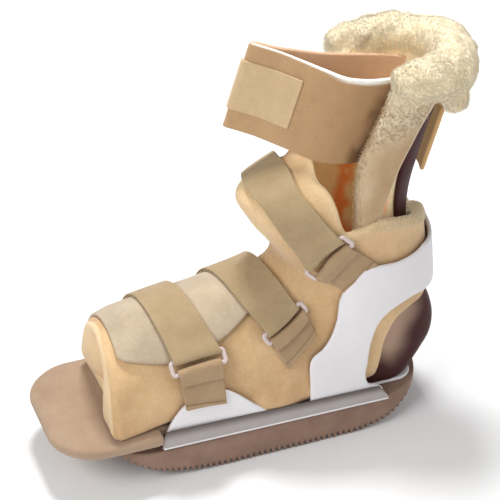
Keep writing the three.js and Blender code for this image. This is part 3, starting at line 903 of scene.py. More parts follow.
@dataclass(frozen=True)
class BootForm:
    """Outside of the foot liner, which everything on the foot follows.

    A point is given by u, from 0 at the toe mouth to 1 at the collar, and turn, the angle round the section
    from its top towards the near side. Each section is half an ellipse above its widest level and half a
    squarer superellipse below, by polar angle, in the plane through its top and base.

    Attributes:
        u_step: Step of u over which its slope is taken.
        turn_step: Step of turn over which its slope is taken.
    """

    u_step: float = 0.004
    turn_step: float = 0.03

    def point(self, u: Array, turn: Array) -> Array:
        """Points of the form.

        Args:
            u: Shares from the toe mouth to the collar.
            turn: Angles round the section.

        Returns:
            A point for each pair.
        """
        u, turn = np.broadcast_arrays(np.asarray(u, float), np.asarray(turn, float))
        top_y, top_z, base_y, base_z, half, widest, square = np.moveaxis(spline(BOOT_SECTIONS, u), -1, 0)
        rise, swing = np.cos(turn), np.sin(turn)
        corner = (np.abs(rise) ** square + np.abs(swing) ** square) ** (-1 / square)
        stretch = np.where(rise >= 0, 1.0, corner)
        reach = np.abs(rise) * stretch
        share = np.where(rise >= 0, widest * (1 - reach), widest + (1 - widest) * reach)
        x = half * swing * stretch
        return np.stack([x, lerp(top_y, base_y, share), lerp(top_z, base_z, share)], axis=-1)

    def normal(self, u: Array, turn: Array) -> Array:
        """Outward directions of the form at u and turn."""
        length, round_it = self.step(u, turn, self.u_step, 0), self.step(u, turn, 0, self.turn_step)
        return unit(np.cross(round_it, length))

    def step(self, u: Array, turn: Array, by_u: float, by_turn: float) -> Array:
        """Way between two places on the form, a little before and a little beyond a given one."""
        return self.point(u + by_u, turn + by_turn) - self.point(u - by_u, turn - by_turn)

    def surface(self, u: Array, turn: Array, lift: Array = 0.0) -> Array:
        """Points moved out from the form by lift."""
        u, turn, lift = np.broadcast_arrays(*(np.asarray(value, float) for value in (u, turn, lift)))
        return self.point(u, turn) + self.normal(u, turn) * lift[..., None]

    def locate(self, outline: Array) -> tuple[Array, Array]:
        """Where side view points lie on the near half of the form.

        The nearest point of a coarse grid, then Newton steps on y and z.

        Args:
            outline: Rows of y and z.

        Returns:
            The u and the turn of each row.
        """
        outline = np.asarray(outline, float)
        turns = np.linspace(0.02, np.pi - 0.02, 100)
        grid_u, grid_turn = np.meshgrid(np.linspace(0, 1, 100), turns, indexing="ij")
        flat = self.point(grid_u, grid_turn)[..., 1:].reshape(-1, 2)
        best = np.linalg.norm(flat[None] - outline[:, None], axis=-1).argmin(axis=1)
        u, turn = grid_u.ravel()[best], grid_turn.ravel()[best]
        small = 1e-3
        for _ in range(12):
            miss = self.point(u, turn)[..., 1:] - outline
            steps = [self.step(u, turn, small, 0), self.step(u, turn, 0, small)]
            slope = np.stack(steps, axis=-1)[..., 1:, :] / (2 * small) + 1e-6 * np.eye(2)
            move = np.clip(np.linalg.solve(slope, miss[..., None])[..., 0], -0.04, 0.04)
            u = np.clip(u - move[:, 0], 0, 1)
            turn = np.clip(turn - move[:, 1], 0, np.pi)
        return u, turn


FORM = BootForm()


def fibres(points: Array, normals: Array, length: Array, lean: Array, radius: float, seed: int) -> Surface:
    """Short curling hairs: each a three-sided taper through a root, a middle and a point.

    The root is sunk a little, the middle leans by a random direction across the normal plus lean, and the tip
    leans twice as far and bends back.

    Args:
        points: Where the hairs grow.
        normals: Directions in which they grow.
        length: Length of each hair before it varies.
        lean: Direction in which all of them lean.
        radius: Radius at the root.
        seed: Seed of what varies.

    Returns:
        All hairs as one surface, with the mark "lie" for their shading.
    """
    chance = np.random.default_rng(seed)
    count = len(points)
    stray = chance.normal(size=(count, 3))
    stray -= normals * np.einsum("ij,ij->i", stray, normals)[:, None]
    stray = unit(stray) * chance.uniform(0.3, 1.0, (count, 1)) + lean
    length = (length * chance.uniform(0.6, 1.25, count))[:, None]
    curl = unit(np.cross(normals, stray)) * chance.uniform(-0.5, 0.5, (count, 1))
    root = points - normals * 0.12 * length
    middle = points + length * (0.5 * normals + 0.34 * stray)
    tip = points + length * (0.72 * normals + 0.8 * stray + 0.6 * curl)
    side = unit(np.cross(normals, stray + 1e-3))
    other = np.cross(normals, side)
    turn = np.arange(3) * 2 * np.pi / 3
    ring = radius * (np.cos(turn)[:, None, None] * side + np.sin(turn)[:, None, None] * other)
    rings = np.stack([root + ring, middle + 0.8 * ring], axis=0)
    base = root - 0.02 * normals
    body = np.concatenate([rings.reshape(6, count, 3), tip[None], base[None]]).transpose(1, 0, 2)
    around = [(k, (k + 1) % 3) for k in range(3)]
    triangles = [(a, b, 3 + b) for a, b in around] + [(a, 3 + b, 3 + a) for a, b in around]
    triangles += [(3 + a, 3 + b, 6) for a, b in around] + [(b, a, 7) for a, b in around]
    index = np.array(triangles)[None] + 8 * np.arange(count)[:, None, None]
    lie = np.repeat(unit(normals + 0.25 * stray), 8, axis=0)
    return Surface(body.reshape(-1, 3), [index.reshape(-1, 3)], marks={"lie": lie}).outward()


def scatter(surface: Surface, weight: Array, count: int, seed: int) -> tuple[Array, Array]:
    """Random places on a surface.

    Args:
        surface: The surface.
        weight: Wanted density at each vertex.
        count: Number of places.
        seed: Seed of the choice.

    Returns:
        The points and the normals there.
    """
    chance = np.random.default_rng(seed)
    triangles = surface.triangles()
    a, b, c = (surface.points[triangles[:, k]] for k in range(3))
    face = np.cross(b - a, c - a)
    share = np.linalg.norm(face, axis=1) * weight[triangles].mean(axis=1)
    chosen = chance.choice(len(triangles), count, p=share / share.sum())
    p, q = chance.random((2, count, 1))
    flip = p + q > 1
    p, q = np.where(flip, 1 - p, p), np.where(flip, 1 - q, q)
    places = a[chosen] + p * (b - a)[chosen] + q * (c - a)[chosen]
    corner = vertex_normals(surface)[triangles[chosen]]
    return places, unit(corner[:, 0] * (1 - p - q) + corner[:, 1] * p + corner[:, 2] * q)


# Sub-assemblies


@dataclass
class WalkingSole:
    """Ribbed rocker sole.

    Attributes:
        front: Front end.
        rear: Rear end.
        half: Half width.
        top: Height of the top.
        front_radius: Plan radius of the front.
        rear_radius: Plan radius of the rear.
        flat: Ends of the part that stands on the ground.
        front_curve: Rise, reach and power of the front rocker.
        rear_curve: Rise, reach and power of the rear rocker.
        pitch: Distance between ribs.
        groove: Depth between ribs.
        thin: Least thickness at a rib, then at a groove.
        step: Distance between the rings of its mesh.
    """

    front: float = -120
    rear: float = 132
    half: float = 52
    top: float = 26.7
    front_radius: float = 40
    rear_radius: float = 46
    flat: tuple[float, float] = (-15, 66)
    front_curve: tuple[float, float, float] = (20, 91, 2.8)
    rear_curve: tuple[float, float, float] = (24, 64, 1.75)
    pitch: float = 4.4
    groove: float = 2.0
    thin: tuple[float, float] = (2.5, 2.0)
    step: float = 0.55

    def underside(self, y: Array) -> Array:
        """Height of the rib tips: a power curve up from each end of the flat part.

        Args:
            y: Places along the sole.

        Returns:
            The height at each place.
        """
        rise, reach, power = self.front_curve
        fore = rise * (np.clip(self.flat[0] - y, 0, None) / reach) ** power
        rise, reach, power = self.rear_curve
        aft = rise * (np.clip(y - self.flat[1], 0, None) / reach) ** power
        return np.minimum(fore + aft, self.top - self.thin[0])

    def width(self, y: Array) -> Array:
        """Half width: full, then along a circle at each end.

        Args:
            y: Places along the sole.

        Returns:
            The half width at each place.
        """
        fore = np.clip(self.front_radius - (y - self.front), 0, self.front_radius)
        aft = np.clip(self.rear_radius - (self.rear - y), 0, self.rear_radius)
        tuck = self.front_radius - np.sqrt(self.front_radius**2 - fore**2)
        return self.half - tuck - (self.rear_radius - np.sqrt(self.rear_radius**2 - aft**2))

    def build(self) -> None:
        """Rings across the sole, one a step, each round its section from one lower edge."""
        y = np.linspace(self.front + 0.05, self.rear - 0.05, int((self.rear - self.front) / self.step))
        wave = np.cos(2 * np.pi * y / self.pitch)
        cut = smooth(0.25, -0.25, wave)
        low = self.underside(y) + self.groove * cut
        low = np.minimum(low, self.top - self.thin[1])
        half = self.width(y)
        turn = np.linspace(0, np.pi, 15)
        bulge = 0.5 * np.sin(turn)
        height = 0.5 * (1 - np.cos(turn))
        tuck = 1.2 * (1 - np.sin(turn)) ** 3
        side = np.stack([bulge - tuck, height], axis=1)
        flat = np.linspace(-0.95, 0.95, 9)
        section_x = np.concatenate([np.ones(15), flat[::-1], -np.ones(15), flat])
        section_out = np.concatenate([side[:, 0], np.zeros(9), -side[::-1, 0], np.zeros(9)])
        section_z = np.concatenate([side[:, 1], np.ones(9), side[::-1, 1], np.zeros(9)])
        x = np.maximum(half - 1.0, 0.4)[:, None] * section_x + section_out
        z = lerp(low[:, None], self.top, section_z)
        rings = np.stack([x, np.broadcast_to(y[:, None], x.shape), z], axis=-1)
        rings[..., 0] += 0.25 * noise(rings, 9.0, 3) * np.sign(section_x)
        # Painted shade: the rubber is darkened in the grooves near the underside, where shade falls between
        # the ribs.
        painted_groove_shade = {"groove": cut[:, None] * smooth(0.16, 0.03, section_z)}
        lay("walking_sole", capped(rings, painted_groove_shade), RUBBER, "sole_rubber", "outsole")


@dataclass
class ToePlate:
    """Padded plate under the toes, with a tongue back under the foot.

    Attributes:
        front: Front end.
        shoulder: Rear end of the wide part.
        rear: Rear end of the tongue.
        half: Half width of the wide part.
        tongue: Half width of the tongue.
        corner: Plan radius of the front corners.
        small: Plan radius of the other corners.
        bottom: Height of the underside.
        top: Height of the top.
        tongue_level: The same two heights for the tongue.
        edge: Radius of the rounded edge.
        crown: How far the top is domed.
    """

    front: float = -152
    shoulder: float = -79
    rear: float = 13
    half: float = 55.5
    tongue: float = 44
    corner: float = 33
    small: float = 4
    bottom: float = 34.2
    top: float = 42.7
    tongue_level: tuple[float, float] = (34.6, 42.2)
    edge: float = 3.8
    crown: float = 0.5

    def build(self) -> None:
        """Two rounded slabs, the front one slightly puffed and bowed."""
        outline = rounded_outline(self.front, self.shoulder, self.half, self.corner, self.small)
        ahead = smooth(self.front + 30, self.front, outline[:, 1])
        outline[:, 1] -= 3.5 * ahead * np.cos(0.5 * np.pi * outline[:, 0] / self.half)
        slab = plate(outline, self.bottom, self.top, self.edge, self.crown)
        slab.points[:, 2] += 0.35 * noise(slab.points, 22.0, 5)
        back = rounded_outline(self.shoulder - 20, self.rear, self.tongue, self.small, self.small)
        hidden = plate(back, *self.tongue_level, 2.0)
        piece = lay("padded_toe_plate", joined([slab, hidden]), PLATE_COVER, "plate_cover", "toe_plate")


@dataclass
class WhiteShell:
    """White plastic shell: base plate, front tabs, wings and the band behind the ankle.

    Attributes:
        bottom: Height of its underside.
        lift: Distance of the middle of its wall from the foot form.
        thick: Thickness of its wall.
        rounding: Width of its rounded rims.
        upright: Height below which the walls drop straight down.
        fore: Front and top edge of a wing in side view, from the sole to the middle of the back.
        aft: Rear and lower edge of a wing.
        wing: Usual width of a wing, to space its points.
        tab: Top edge of a front tab.
        tab_rise: Usual height of a tab, to space its points.
        base: Front, rear, half width and two corner radii of the base plate.
        heel: The same for the plate under the heel.
        lip_ends: Front and rear end of the line below a grey strip.
        lip_level: Its height at those ends.
        lip_out: Its distance from the middle.
        lip_radius: Its radius.
    """

    bottom: float = 27
    lift: float = 2.4
    thick: float = 3.0
    rounding: float = 1.6
    upright: float = 62
    fore: tuple = (
        (33, 28), (33, 50), (33, 73), (43, 81.6), (49, 89.5), (53.7, 100.4), (55.3, 108.7), (58, 124),
        (67, 135.3), (77, 143), (99, 141.5), (116, 143), (123, 145.5), (130, 149), (136, 150.5),
    )
    aft: tuple = (
        (91, 28), (90.5, 34), (86, 38.5), (79, 41.5), (76.5, 50), (77.5, 59), (79.5, 78), (85, 94),
        (95, 102.7), (111, 107.3), (123, 106), (131, 105.5), (137, 109), (140.5, 113),
    )
    wing: float = 40
    tab: tuple = (
        (-77, 30), (-75, 42), (-69, 53), (-60, 62), (-46, 66.5), (-33, 67), (-22, 60), (-9, 48), (3, 38),
    )
    tab_rise: float = 35
    base: tuple[float, ...] = (-80, 86, 48.5, 6, 6)
    heel: tuple[float, ...] = (60, 123, 37, 6, 14)
    lip_ends: tuple[float, float] = (-80, 93)
    lip_level: tuple[float, float] = (31.3, 28.1)
    lip_out: float = 54.2
    lip_radius: float = 0.8

    def edge(self, outline: tuple, count: int) -> Array:
        """Edge of a wing, carried on round the back to the far side.

        Args:
            outline: The edge in side view.
            count: Number of points on each side.

        Returns:
            Rows of u, turn and drop below the upright level.
        """
        side_view = along(outline, count)
        drop = np.clip(self.upright - side_view[:, 1], 0, None)
        u, turn = FORM.locate(side_view + np.stack([np.zeros(count), drop], axis=1))
        back = 10
        turn[-back:] = np.linspace(turn[-back], np.pi, back)
        near = np.stack([u, turn, drop], axis=1)
        far = near[-2::-1] * [1, -1, 1] + [0, 2 * np.pi, 0]
        return np.concatenate([near, far])

    def wings(self) -> Surface:
        """Band from edge to edge on the form, rounded at its rims.

        Returns:
            Both wings and the band behind the ankle.
        """
        fore, aft = self.edge(self.fore, 110), self.edge(self.aft, 110)
        across = edged(22, self.wing, self.rounding)[None, :, None]
        u, turn, drop = np.moveaxis(lerp(fore[:, None], aft[:, None], across), -1, 0)
        middle = FORM.surface(u, turn, self.lift)
        middle[..., 2] -= drop
        distance = from_ends(across[..., 0], self.wing)
        half = 0.5 * self.thick * np.broadcast_to(rim(distance, self.rounding), u.shape)
        return sheet(middle, half)

    def tabs(self, side: Side) -> Surface:
        """Upright tab beside the ball of the foot.

        Args:
            side: Which side it is on.

        Returns:
            The tab.
        """
        count = 90
        top = along(self.tab, count)
        level = edged(16, self.tab_rise, self.rounding)[None]
        y = np.broadcast_to(top[:, :1], (count, level.shape[1]))
        z = lerp(self.bottom + 1, top[:, 1:], level)
        spot = np.stack([top[:, 0], np.full(count, self.upright)], axis=1)
        u, turn = FORM.locate(spot)
        reach = FORM.surface(u, turn, self.lift)[:, 0]
        middle = np.stack([np.broadcast_to(side.value * reach[:, None], y.shape), y, z], axis=-1)
        rise = np.maximum(top[:, 1:] - self.bottom, 2)
        distance = np.minimum(steps_in(count, 1.2), from_ends(level, rise))
        return sheet(middle, 0.5 * self.thick * rim(distance, self.rounding))

    def lip(self, side: Side) -> Surface:
        """White line along the lower edge of a grey strip: a thin round bar.

        Args:
            side: Which side it is on.

        Returns:
            The bar.
        """
        rows, columns = 90, 12
        turn = np.linspace(0, 2 * np.pi, columns, endpoint=False)
        rings = np.empty((rows, columns, 3))
        rings[..., 0] = side.value * (self.lip_out + self.lip_radius * np.cos(turn))
        rings[..., 1] = np.linspace(*self.lip_ends, rows)[:, None]
        rings[..., 2] = np.linspace(*self.lip_level, rows)[:, None] + self.lip_radius * np.sin(turn)
        return capped(rings)

    def build(self) -> None:
        """All parts of the shell as one piece."""
        flats = [
            plate(rounded_outline(*outline), self.bottom, self.bottom + self.thick, 1.2)
            for outline in (self.base, self.heel)
        ]
        parts = [*flats, self.wings(), *map(self.tabs, Side), *map(self.lip, Side)]
        lay("white_shell_wall", joined(parts), WHITE_PLASTIC, "white_shell", "foot_shell")


@dataclass
class GreyStrip:
    """Strip that leans out over the edge of the sole, on one side.

    Attributes:
        side: Which side it is on.
        upper: Distance out of its upper edge, then its height at the front and at the rear.
        lower: The same for its lower edge.
        ends: Front and rear ends at the lower edge, then at the upper edge.
        width: Usual width, to space its points.
        length: Usual length, to space its points.
        thick: Thickness.
        hollow: How far its face is hollowed.
    """

    side: Side
    upper: tuple[float, float, float] = (51.4, 43.5, 38.5)
    lower: tuple[float, float, float] = (54.2, 31.8, 28.6)
    ends: tuple[float, float, float, float] = (-81, 94, -77, 87)
    width: float = 12
    length: float = 165
    thick: float = 1.6
    hollow: float = 0.9

    def build(self) -> None:
        """Sheet between the two edges, slightly hollow, with its ends slanted."""
        level = edged(12, self.width, 1.0)[None]
        share = edged(80, self.length, 1.2)[:, None]
        y = lerp(lerp(self.ends[0], self.ends[2], level), lerp(self.ends[1], self.ends[3], level), share)
        z = lerp(lerp(self.lower[1], self.lower[2], share), lerp(self.upper[1], self.upper[2], share), level)
        x = lerp(self.lower[0], self.upper[0], level) - self.hollow * np.sin(np.pi * level)
        middle = np.stack([self.side.value * np.broadcast_to(x, y.shape), y, z], axis=-1)
        distance = np.minimum(from_ends(level, self.width), from_ends(share, self.length))
        # Painted shade: darker towards the upper edge, where the strip is tucked under the liner.
        shade = {"edge": np.broadcast_to(smooth(0.3, 1.0, level), y.shape)}
        slab = sheet(middle, 0.5 * self.thick * rim(distance, 1.0), None, shade)
        name = self.side.name.lower()
        lay(f"grey_strip_{name}", slab, GREY_STRIP, "grey_strip", f"flange_{name}")


SPLINT_STATIONS = np.array([
    # y, z, half width, curl of the edges in degrees, from inside the heel cup up
    (130, 106, 27, 56), (125.5, 126, 24, 42), (122, 146, 27, 50), (120.5, 166, 30, 60), (122, 186, 32, 66),
    (127, 206, 32, 72), (134, 230, 32, 75), (143, 256, 32, 75), (149, 276, 31, 75),
])
HEEL_CUP = np.array([
    # y, z along the middle of the cup from under the foot, squareness across
    (58, 30, 9), (80, 28.5, 9), (92, 28.5, 9), (104, 28.5, 9), (114, 31, 7), (123, 38, 5), (131, 48, 4.4),
    (138, 60, 4.2), (139.8, 74, 4.2), (137, 88, 4.2), (130.5, 104, 4), (125.5, 120, 4),
])


@dataclass
class Splint:
    """Glossy bar under the foot that swells into a cup round the heel and goes up behind the calf.

    Attributes:
        thick: Thickness of the bar.
        end: Share of the stations at which it ends.
        heel: Side view place of the middle of the cup.
        cup_half: Half width of the cup.
        floor: Height of the shell's base plate, where the cup is flat.
        length: Usual length of the upright bar, to space its points.
        width: Its usual width.
        rounding: Width of the rounded rims.
        under: Front, rear, half width and two corner radii of the bar under the foot.
        under_level: Heights of the underside and the top of that bar.
    """

    thick: float = 3.4
    end: float = 0.97
    heel: tuple[float, float] = (92, 74)
    cup_half: float = 38.6
    floor: float = 30.3
    length: float = 190
    width: float = 64
    rounding: float = 1.8
    under: tuple[float, ...] = (20, 106, 34, 8, 26)
    under_level: tuple[float, float] = (30.8, 34.2)

    def bar(self) -> Surface:
        """Arcs across the upright bar, each centred in front of its middle line, at even steps along it.

        Returns:
            The bar.
        """
        length = edged(140, self.length, 2.0)
        u = self.end * length
        y, z, half, curl = spline(SPLINT_STATIONS, u).T
        slope = unit(np.stack([np.gradient(y, u), np.gradient(z, u)], axis=1))
        inward = np.stack([-slope[:, 1], slope[:, 0]], axis=1)
        angle = np.radians(curl)
        radius = half / np.sin(angle)
        across = edged(40, self.width, 2.0)
        turn = angle[:, None] * (2 * across - 1)
        depth = radius[:, None] * (1 - np.cos(turn))
        back = y[:, None] + inward[:, :1] * depth
        middle = np.stack([radius[:, None] * np.sin(turn), back, z[:, None] + inward[:, 1:] * depth], axis=-1)
        distance = np.minimum(from_ends(length, self.length)[:, None], from_ends(across, self.width))
        plain = {"bloom": np.zeros(distance.shape)}
        return sheet(middle, 0.5 * self.thick * rim(distance, self.rounding), None, plain)

    def cup(self) -> Surface:
        """Rounded cup: a superellipse on each spoke about a cross axis, from its near end to its far end.

        Where the share of the spoke is s, the distance across is half (1 - s^n)^(1/n), with n the squareness.

        Returns:
            The cup, with a pale painted reflection marked on its sides.
        """
        spokes, steps, first = 110, 60, 0.013
        back, level, square = along(HEEL_CUP, spokes).T[..., None]
        step = np.linspace(first, 1, steps)
        share = np.sin(0.5 * np.pi * np.concatenate([step, step[-2::-1]]))[None]
        side = np.repeat([1, 0, -1], [steps - 1, 1, steps - 1])[None]
        x = self.cup_half * side * np.clip(1 - share**square, 0, 1) ** (1 / square)
        y = lerp(self.heel[0], back, share)
        z = np.maximum(lerp(self.heel[1], level, share), self.floor)
        middle = np.stack([x, y, z], axis=-1)
        drift = 8 * noise(middle, 16.0, 52)
        # Painted reflection: a pale patch low on the cup's sides, where the gloss would mirror the floor.
        bloom = 0.85 * smooth(42, 70, z + drift) * smooth(116, 98, z + drift)
        bloom = bloom * smooth(124, 102, y + 0.6 * drift - 0.3 * (z - 72))
        half = 0.5 * self.thick * rim(np.broadcast_to(steps_in(spokes, 1.2), y.shape), self.rounding)
        return sheet(middle, half, None, {"bloom": bloom})

    def build(self) -> None:
        """Bar under the foot, cup and upright bar as one piece."""
        under = plate(rounded_outline(*self.under), *self.under_level, 1.5)
        under.marks["bloom"] = np.zeros(len(under.points))
        whole = joined([under, self.cup(), self.bar()])
        lay("bowed_splint", whole, MAROON, "splint_plastic", "splint")


@dataclass
class FootLiner:
    """Padded boot of suede with a fleece lining, open at the toes, the heel and the collar.

    Attributes:
        wall: Thickness of the padding.
        heel: Edge of the heel opening in side view, from the sole to the middle of the back.
        collar: Edge of the collar in side view, from the front to the middle of the back.
        pile: Length of the fleece at the rims.
        tongue: How far the top of the tongue goes on up inside the calf strap.
        tongue_way: Direction in which it does.
        length: Usual length from toe to collar, to space the points.
        girth: Usual length from the top round to the sole.
        opening: Usual length from the top round to the heel opening.
        rounding: Width of the rounded rims.
        hairs: Number of hairs on the collar.
    """

    wall: float = 8.0
    heel: tuple = (
        (89, 41), (91, 54), (93.5, 69), (98, 80), (105, 90), (116, 95), (127, 96), (134, 99), (139.5, 104),
    )
    collar: tuple = (
        (38, 212), (42, 210), (46, 207.5), (50, 203), (54, 192), (57, 179), (61.5, 170.5), (72, 172.5),
        (84, 175.5), (98, 173.5), (112, 170), (126, 167), (137, 165),
    )
    pile: float = 1.7
    tongue: float = 16.0
    tongue_way: tuple[float, float, float] = (0, 0.4, 0.92)
    length: float = 330
    girth: float = 190
    opening: float = 150
    rounding: float = 5.0
    hairs: int = 5200

    def toe_face(self, mouth: Array) -> tuple[Array, Array]:
        """Padding drawn in from the toe mouth to a narrow upright slit, bulging forward on the way.

        Args:
            mouth: Ring of points at the mouth.

        Returns:
            Rows from the slit out to the mouth, and how far in each one is, from 1 to 0.
        """
        inset = np.linspace(1, 0, 20)[:-1, None]
        x, y, z = mouth.T
        slit = np.stack([-4 + 0.07 * x + 3.0 * np.sin((z - 52) / 9), y + 8, lerp(z, 75, 0.1)], axis=1)
        rows = lerp(mouth[None], slit[None], inset[..., None] ** 0.9)
        rows[..., 1] -= 3.0 * np.sin(np.pi * inset**0.75)
        rows[..., 1] -= 1.3 * noise(rows, 15.0, 13) * smooth(0, 0.3, inset)
        return rows, inset

    def grid(self) -> tuple[Array, Array, Array, Array]:
        """Places of the liner's points on the form, drawn in round the heel opening.

        u is a share of the collar's u at that turn; turn is a share of the heel opening's turn at that u.

        Returns:
            The u and the turn of each point, then the shares along the rows and round the columns.
        """
        collar_u, collar_turn = FORM.locate(along(self.collar, 120))
        heel_u, heel_turn = FORM.locate(along(self.heel, 120))
        collar_turn[-1] = np.pi
        heel_turn[-1] = np.pi
        heel_u = np.concatenate([heel_u[:1] - 0.06, heel_u])
        heel_turn = np.concatenate([[np.pi], heel_turn])
        order, rise = np.argsort(collar_turn), np.argsort(heel_u)
        length = edged(130, self.length, 7.0)[:, None]
        half_round = edged(100, self.girth, 7.0)
        round_it = np.concatenate([-half_round[::-1], half_round[1:]])[None]
        end = np.interp(np.abs(round_it) * np.pi, collar_turn[order], collar_u[order])
        end = end - 0.03 * smooth(-0.08, -0.18, round_it)
        start = 0.016 * smooth(0.1, -0.55, round_it) + 0.014 * smooth(-0.5, -0.85, round_it)
        start = start + 0.03 * smooth(0.7, 1.0, round_it)
        u = lerp(start, end, length)
        opening = np.interp(u, heel_u[rise], heel_turn[rise], left=np.pi, right=np.pi)
        return u, round_it * opening, length, round_it

    def swell(self, outside: Array, turn: Array) -> Array:
        """How far the padding puffs out: soft noise, a gusset below the ankle and flares beside the sole.

        Args:
            outside: Points of the form.
            turn: Their turns.

        Returns:
            A distance for each point.
        """
        y, z = outside[..., 1], outside[..., 2]
        low = smooth(100, 60, z) * smooth(0.2, 0.9, np.abs(np.sin(turn)))
        gusset = smooth(-22, 2, y) * smooth(32, 14, y) * low
        flare = 4.0 * smooth(-62, -100, y) * smooth(72, 50, z)
        flare += 3.0 * smooth(-16, 0, y) * smooth(46, 32, y) * smooth(58, 44, z)
        return noise(outside, 34.0, 11) + 0.5 * noise(outside, 13.0, 12) - 1.0 + 2.6 * gusset + flare

    def boot(self) -> Surface:
        """Padded sheet from the toe slit to the collar, its tongue drawn up at the front.

        Returns:
            The boot, with its fluffy rims, lining, painted light and painted shade in the toe slit marked.
        """
        u, turn, length, round_it = self.grid()
        seam = np.abs(turn[:, 0]) > np.pi - 1e-3
        outside = FORM.point(u, turn)
        y, z = outside[..., 1], outside[..., 2]
        drawn = smooth(0.984, 1.0, length)
        across = outside[-1, :, 0]
        tall = self.tongue * smooth(27, 7, across) * smooth(-16, -5, across) * smooth(60, 46, y[-1])
        ends = (1 - length) * self.length + tall * (1 - drawn)
        sides = np.where(seam[:, None], 99.0, (1 - np.abs(round_it)) * self.opening)
        middle = FORM.surface(u, turn, self.swell(outside, turn) - 0.5 * self.wall)
        middle = middle + (tall * drawn)[..., None] * np.array(self.tongue_way)
        face, inset = self.toe_face(middle[0])
        shape, blend = face.shape[:2], 10
        middle = np.concatenate([face, middle])
        normals = FORM.normal(u, turn)[blend:]
        normals = np.concatenate([-grid_normals(middle)[: len(face) + blend], normals])
        seam = np.concatenate([np.ones(len(face), bool), seam])
        distance = np.concatenate([np.broadcast_to((1 - inset) * 30, shape), np.minimum(ends, sides)])
        fluff = np.concatenate([np.full(shape, 0.75), np.broadcast_to(np.exp(-ends / 6.0), u.shape)])
        # Painted shade: orange deep in the toe slit, where shade falls inside the padding.
        deep = np.broadcast_to(0.8 * smooth(0.7, 1.0, inset), shape)
        # Paler places: painted light on the front of the tongue, where the light falls, and a paler patch low
        # at the back round the heel opening.
        light = 0.65 * smooth(125, 160, z) * smooth(30, 5, y)
        light += 0.35 * smooth(70, 85, y) * smooth(112, 90, z)
        fills = {
            "rim": fluff,
            "warm": np.concatenate([deep, np.zeros(u.shape)]),
            "pale": np.concatenate([np.zeros(shape), light]),
        }
        boot = sheet(middle, 0.5 * self.wall * rim(distance, self.rounding), seam, fills, normals)
        boot.points[:, 2] = np.maximum(boot.points[:, 2], np.where(boot.points[:, 1] < -10, 43.0, 30.5))
        inner = 1 - boot.marks["skin"]
        # The lining, the rims and the painted light share one paler colour.
        boot.marks["lined"] = np.clip(inner + 1.3 * boot.marks["rim"] + boot.marks["pale"], 0, 1)
        return boot

    def build(self) -> None:
        """The padded boot and the hairs round its collar."""
        boot = self.boot()
        body = lay("suede_foot_liner", boot, SUEDE, "liner_suede", "foot_liner")
        y, z = boot.points[:, 1], boot.points[:, 2]
        collar = smooth(60, 90, y) * smooth(120, 150, z)
        place, normal = scatter(boot, collar * smooth(0.2, 0.7, boot.marks["rim"]), self.hairs, 21)
        sag = np.array([0, 0, -0.25])
        hair = fibres(place, normal, np.full(len(place), self.pile), sag, 0.22, 22)
        hair.marks["tan"] = np.full(len(hair.points), 0.3)
        lay("foot_liner_fleece", hair, PILE, "fleece")


@dataclass
class TopFlap:
    """Soft flap laid over the top of the foot under the straps.

    Attributes:
        near: Lower edge on the near side in side view, from the front.
        far: Lower edge on the far side.
        lift: Distance of its middle from the foot form.
        thick: Thickness.
        span: The u of its front edge, and how much u it covers.
        length: Usual length, to space its points.
        width: Usual width.
    """

    near: tuple = (
        (-106.5, 106), (-105, 101), (-101, 97.5), (-95, 95.5), (-71, 92), (-50, 95), (-30, 100), (-7, 112),
        (10, 123), (20, 135),
    )
    far: tuple = ((-108, 80), (-104, 75), (-98, 72), (-50, 72), (-10, 74), (2, 82), (12, 104), (20, 135))
    lift: float = 1.9
    thick: float = 3.0
    span: tuple[float, float] = (0.013, 0.358)
    length: float = 150
    width: float = 130

    def edge(self, outline: tuple, u: Array) -> Array:
        """Place of an edge on the form.

        Args:
            outline: The edge in side view.
            u: Where it is wanted.

        Returns:
            The turn of the edge at each u.
        """
        edge_u, edge_turn = FORM.locate(along(outline, 120))
        order = np.argsort(edge_u)
        return np.interp(u, edge_u[order], edge_turn[order])

    def build(self) -> None:
        """Grid from edge to edge over the form, with soft waves along the free edges."""
        length = edged(110, self.length, 2.2)[:, None]
        u = self.span[0] + self.span[1] * length
        across = edged(90, self.length, 2.2)[None]
        turn = lerp(-self.edge(self.far, u), self.edge(self.near, u), across)
        place = FORM.point(u, turn)
        free = smooth(0.75, 1.0, across)
        wave = 0.5 * noise(place, 30.0, 31) + 0.5 * free * (1 + noise(place, 18.0, 32))
        rest = lerp(0.2, self.lift, smooth(0, 0.12, length))
        middle = FORM.surface(u, turn, rest + np.maximum(wave, -0.2))
        distance = np.minimum(from_ends(length, self.length), from_ends(across, self.width))
        cloth = sheet(middle, 0.5 * self.thick * rim(distance, 1.8))
        piece = lay("suede_top_flap", cloth, FLAP_SUEDE, "flap_suede", "top_flap")


ROLL_PATH = np.array([
    # x, y, z, radius
    (35, 99, 277, 10), (36, 108, 278.5, 12.5), (36, 120, 277.5, 14.5), (33, 135, 276, 15.5),
    (20, 148, 276, 15.5), (0, 153, 276, 16), (-20, 149, 275, 15.5), (-36, 134, 274, 15),
    (-43, 115, 273, 14.5), (-45, 99, 270, 13.5), (-45, 88, 265.5, 11),
])
HANG_EDGE = np.array([
    # lower edge x, y, z, then upper edge x, y, z, from the notch beside the splint to the middle of the back
    (38, 126, 266, 37, 124, 279), (37, 133, 255, 36, 131, 280), (34, 140, 247, 33, 138, 280),
    (28, 149, 242, 27, 147, 281), (18, 157, 240, 17, 154, 281), (0, 161, 239, 0, 158, 282),
])
LAPEL = np.array([
    # front edge y, z, then free rear edge y, z, from the collar up to the roll
    (73, 160, 80, 160), (71, 176, 84.5, 176), (69, 195, 91.5, 195), (70, 213, 98, 213), (72, 224, 103, 224),
    (77, 234, 108, 234), (82, 245, 113.5, 245), (88, 257, 120.5, 257), (93, 268, 126, 267),
    (97, 277, 130, 274), (100, 284, 133, 281),
])


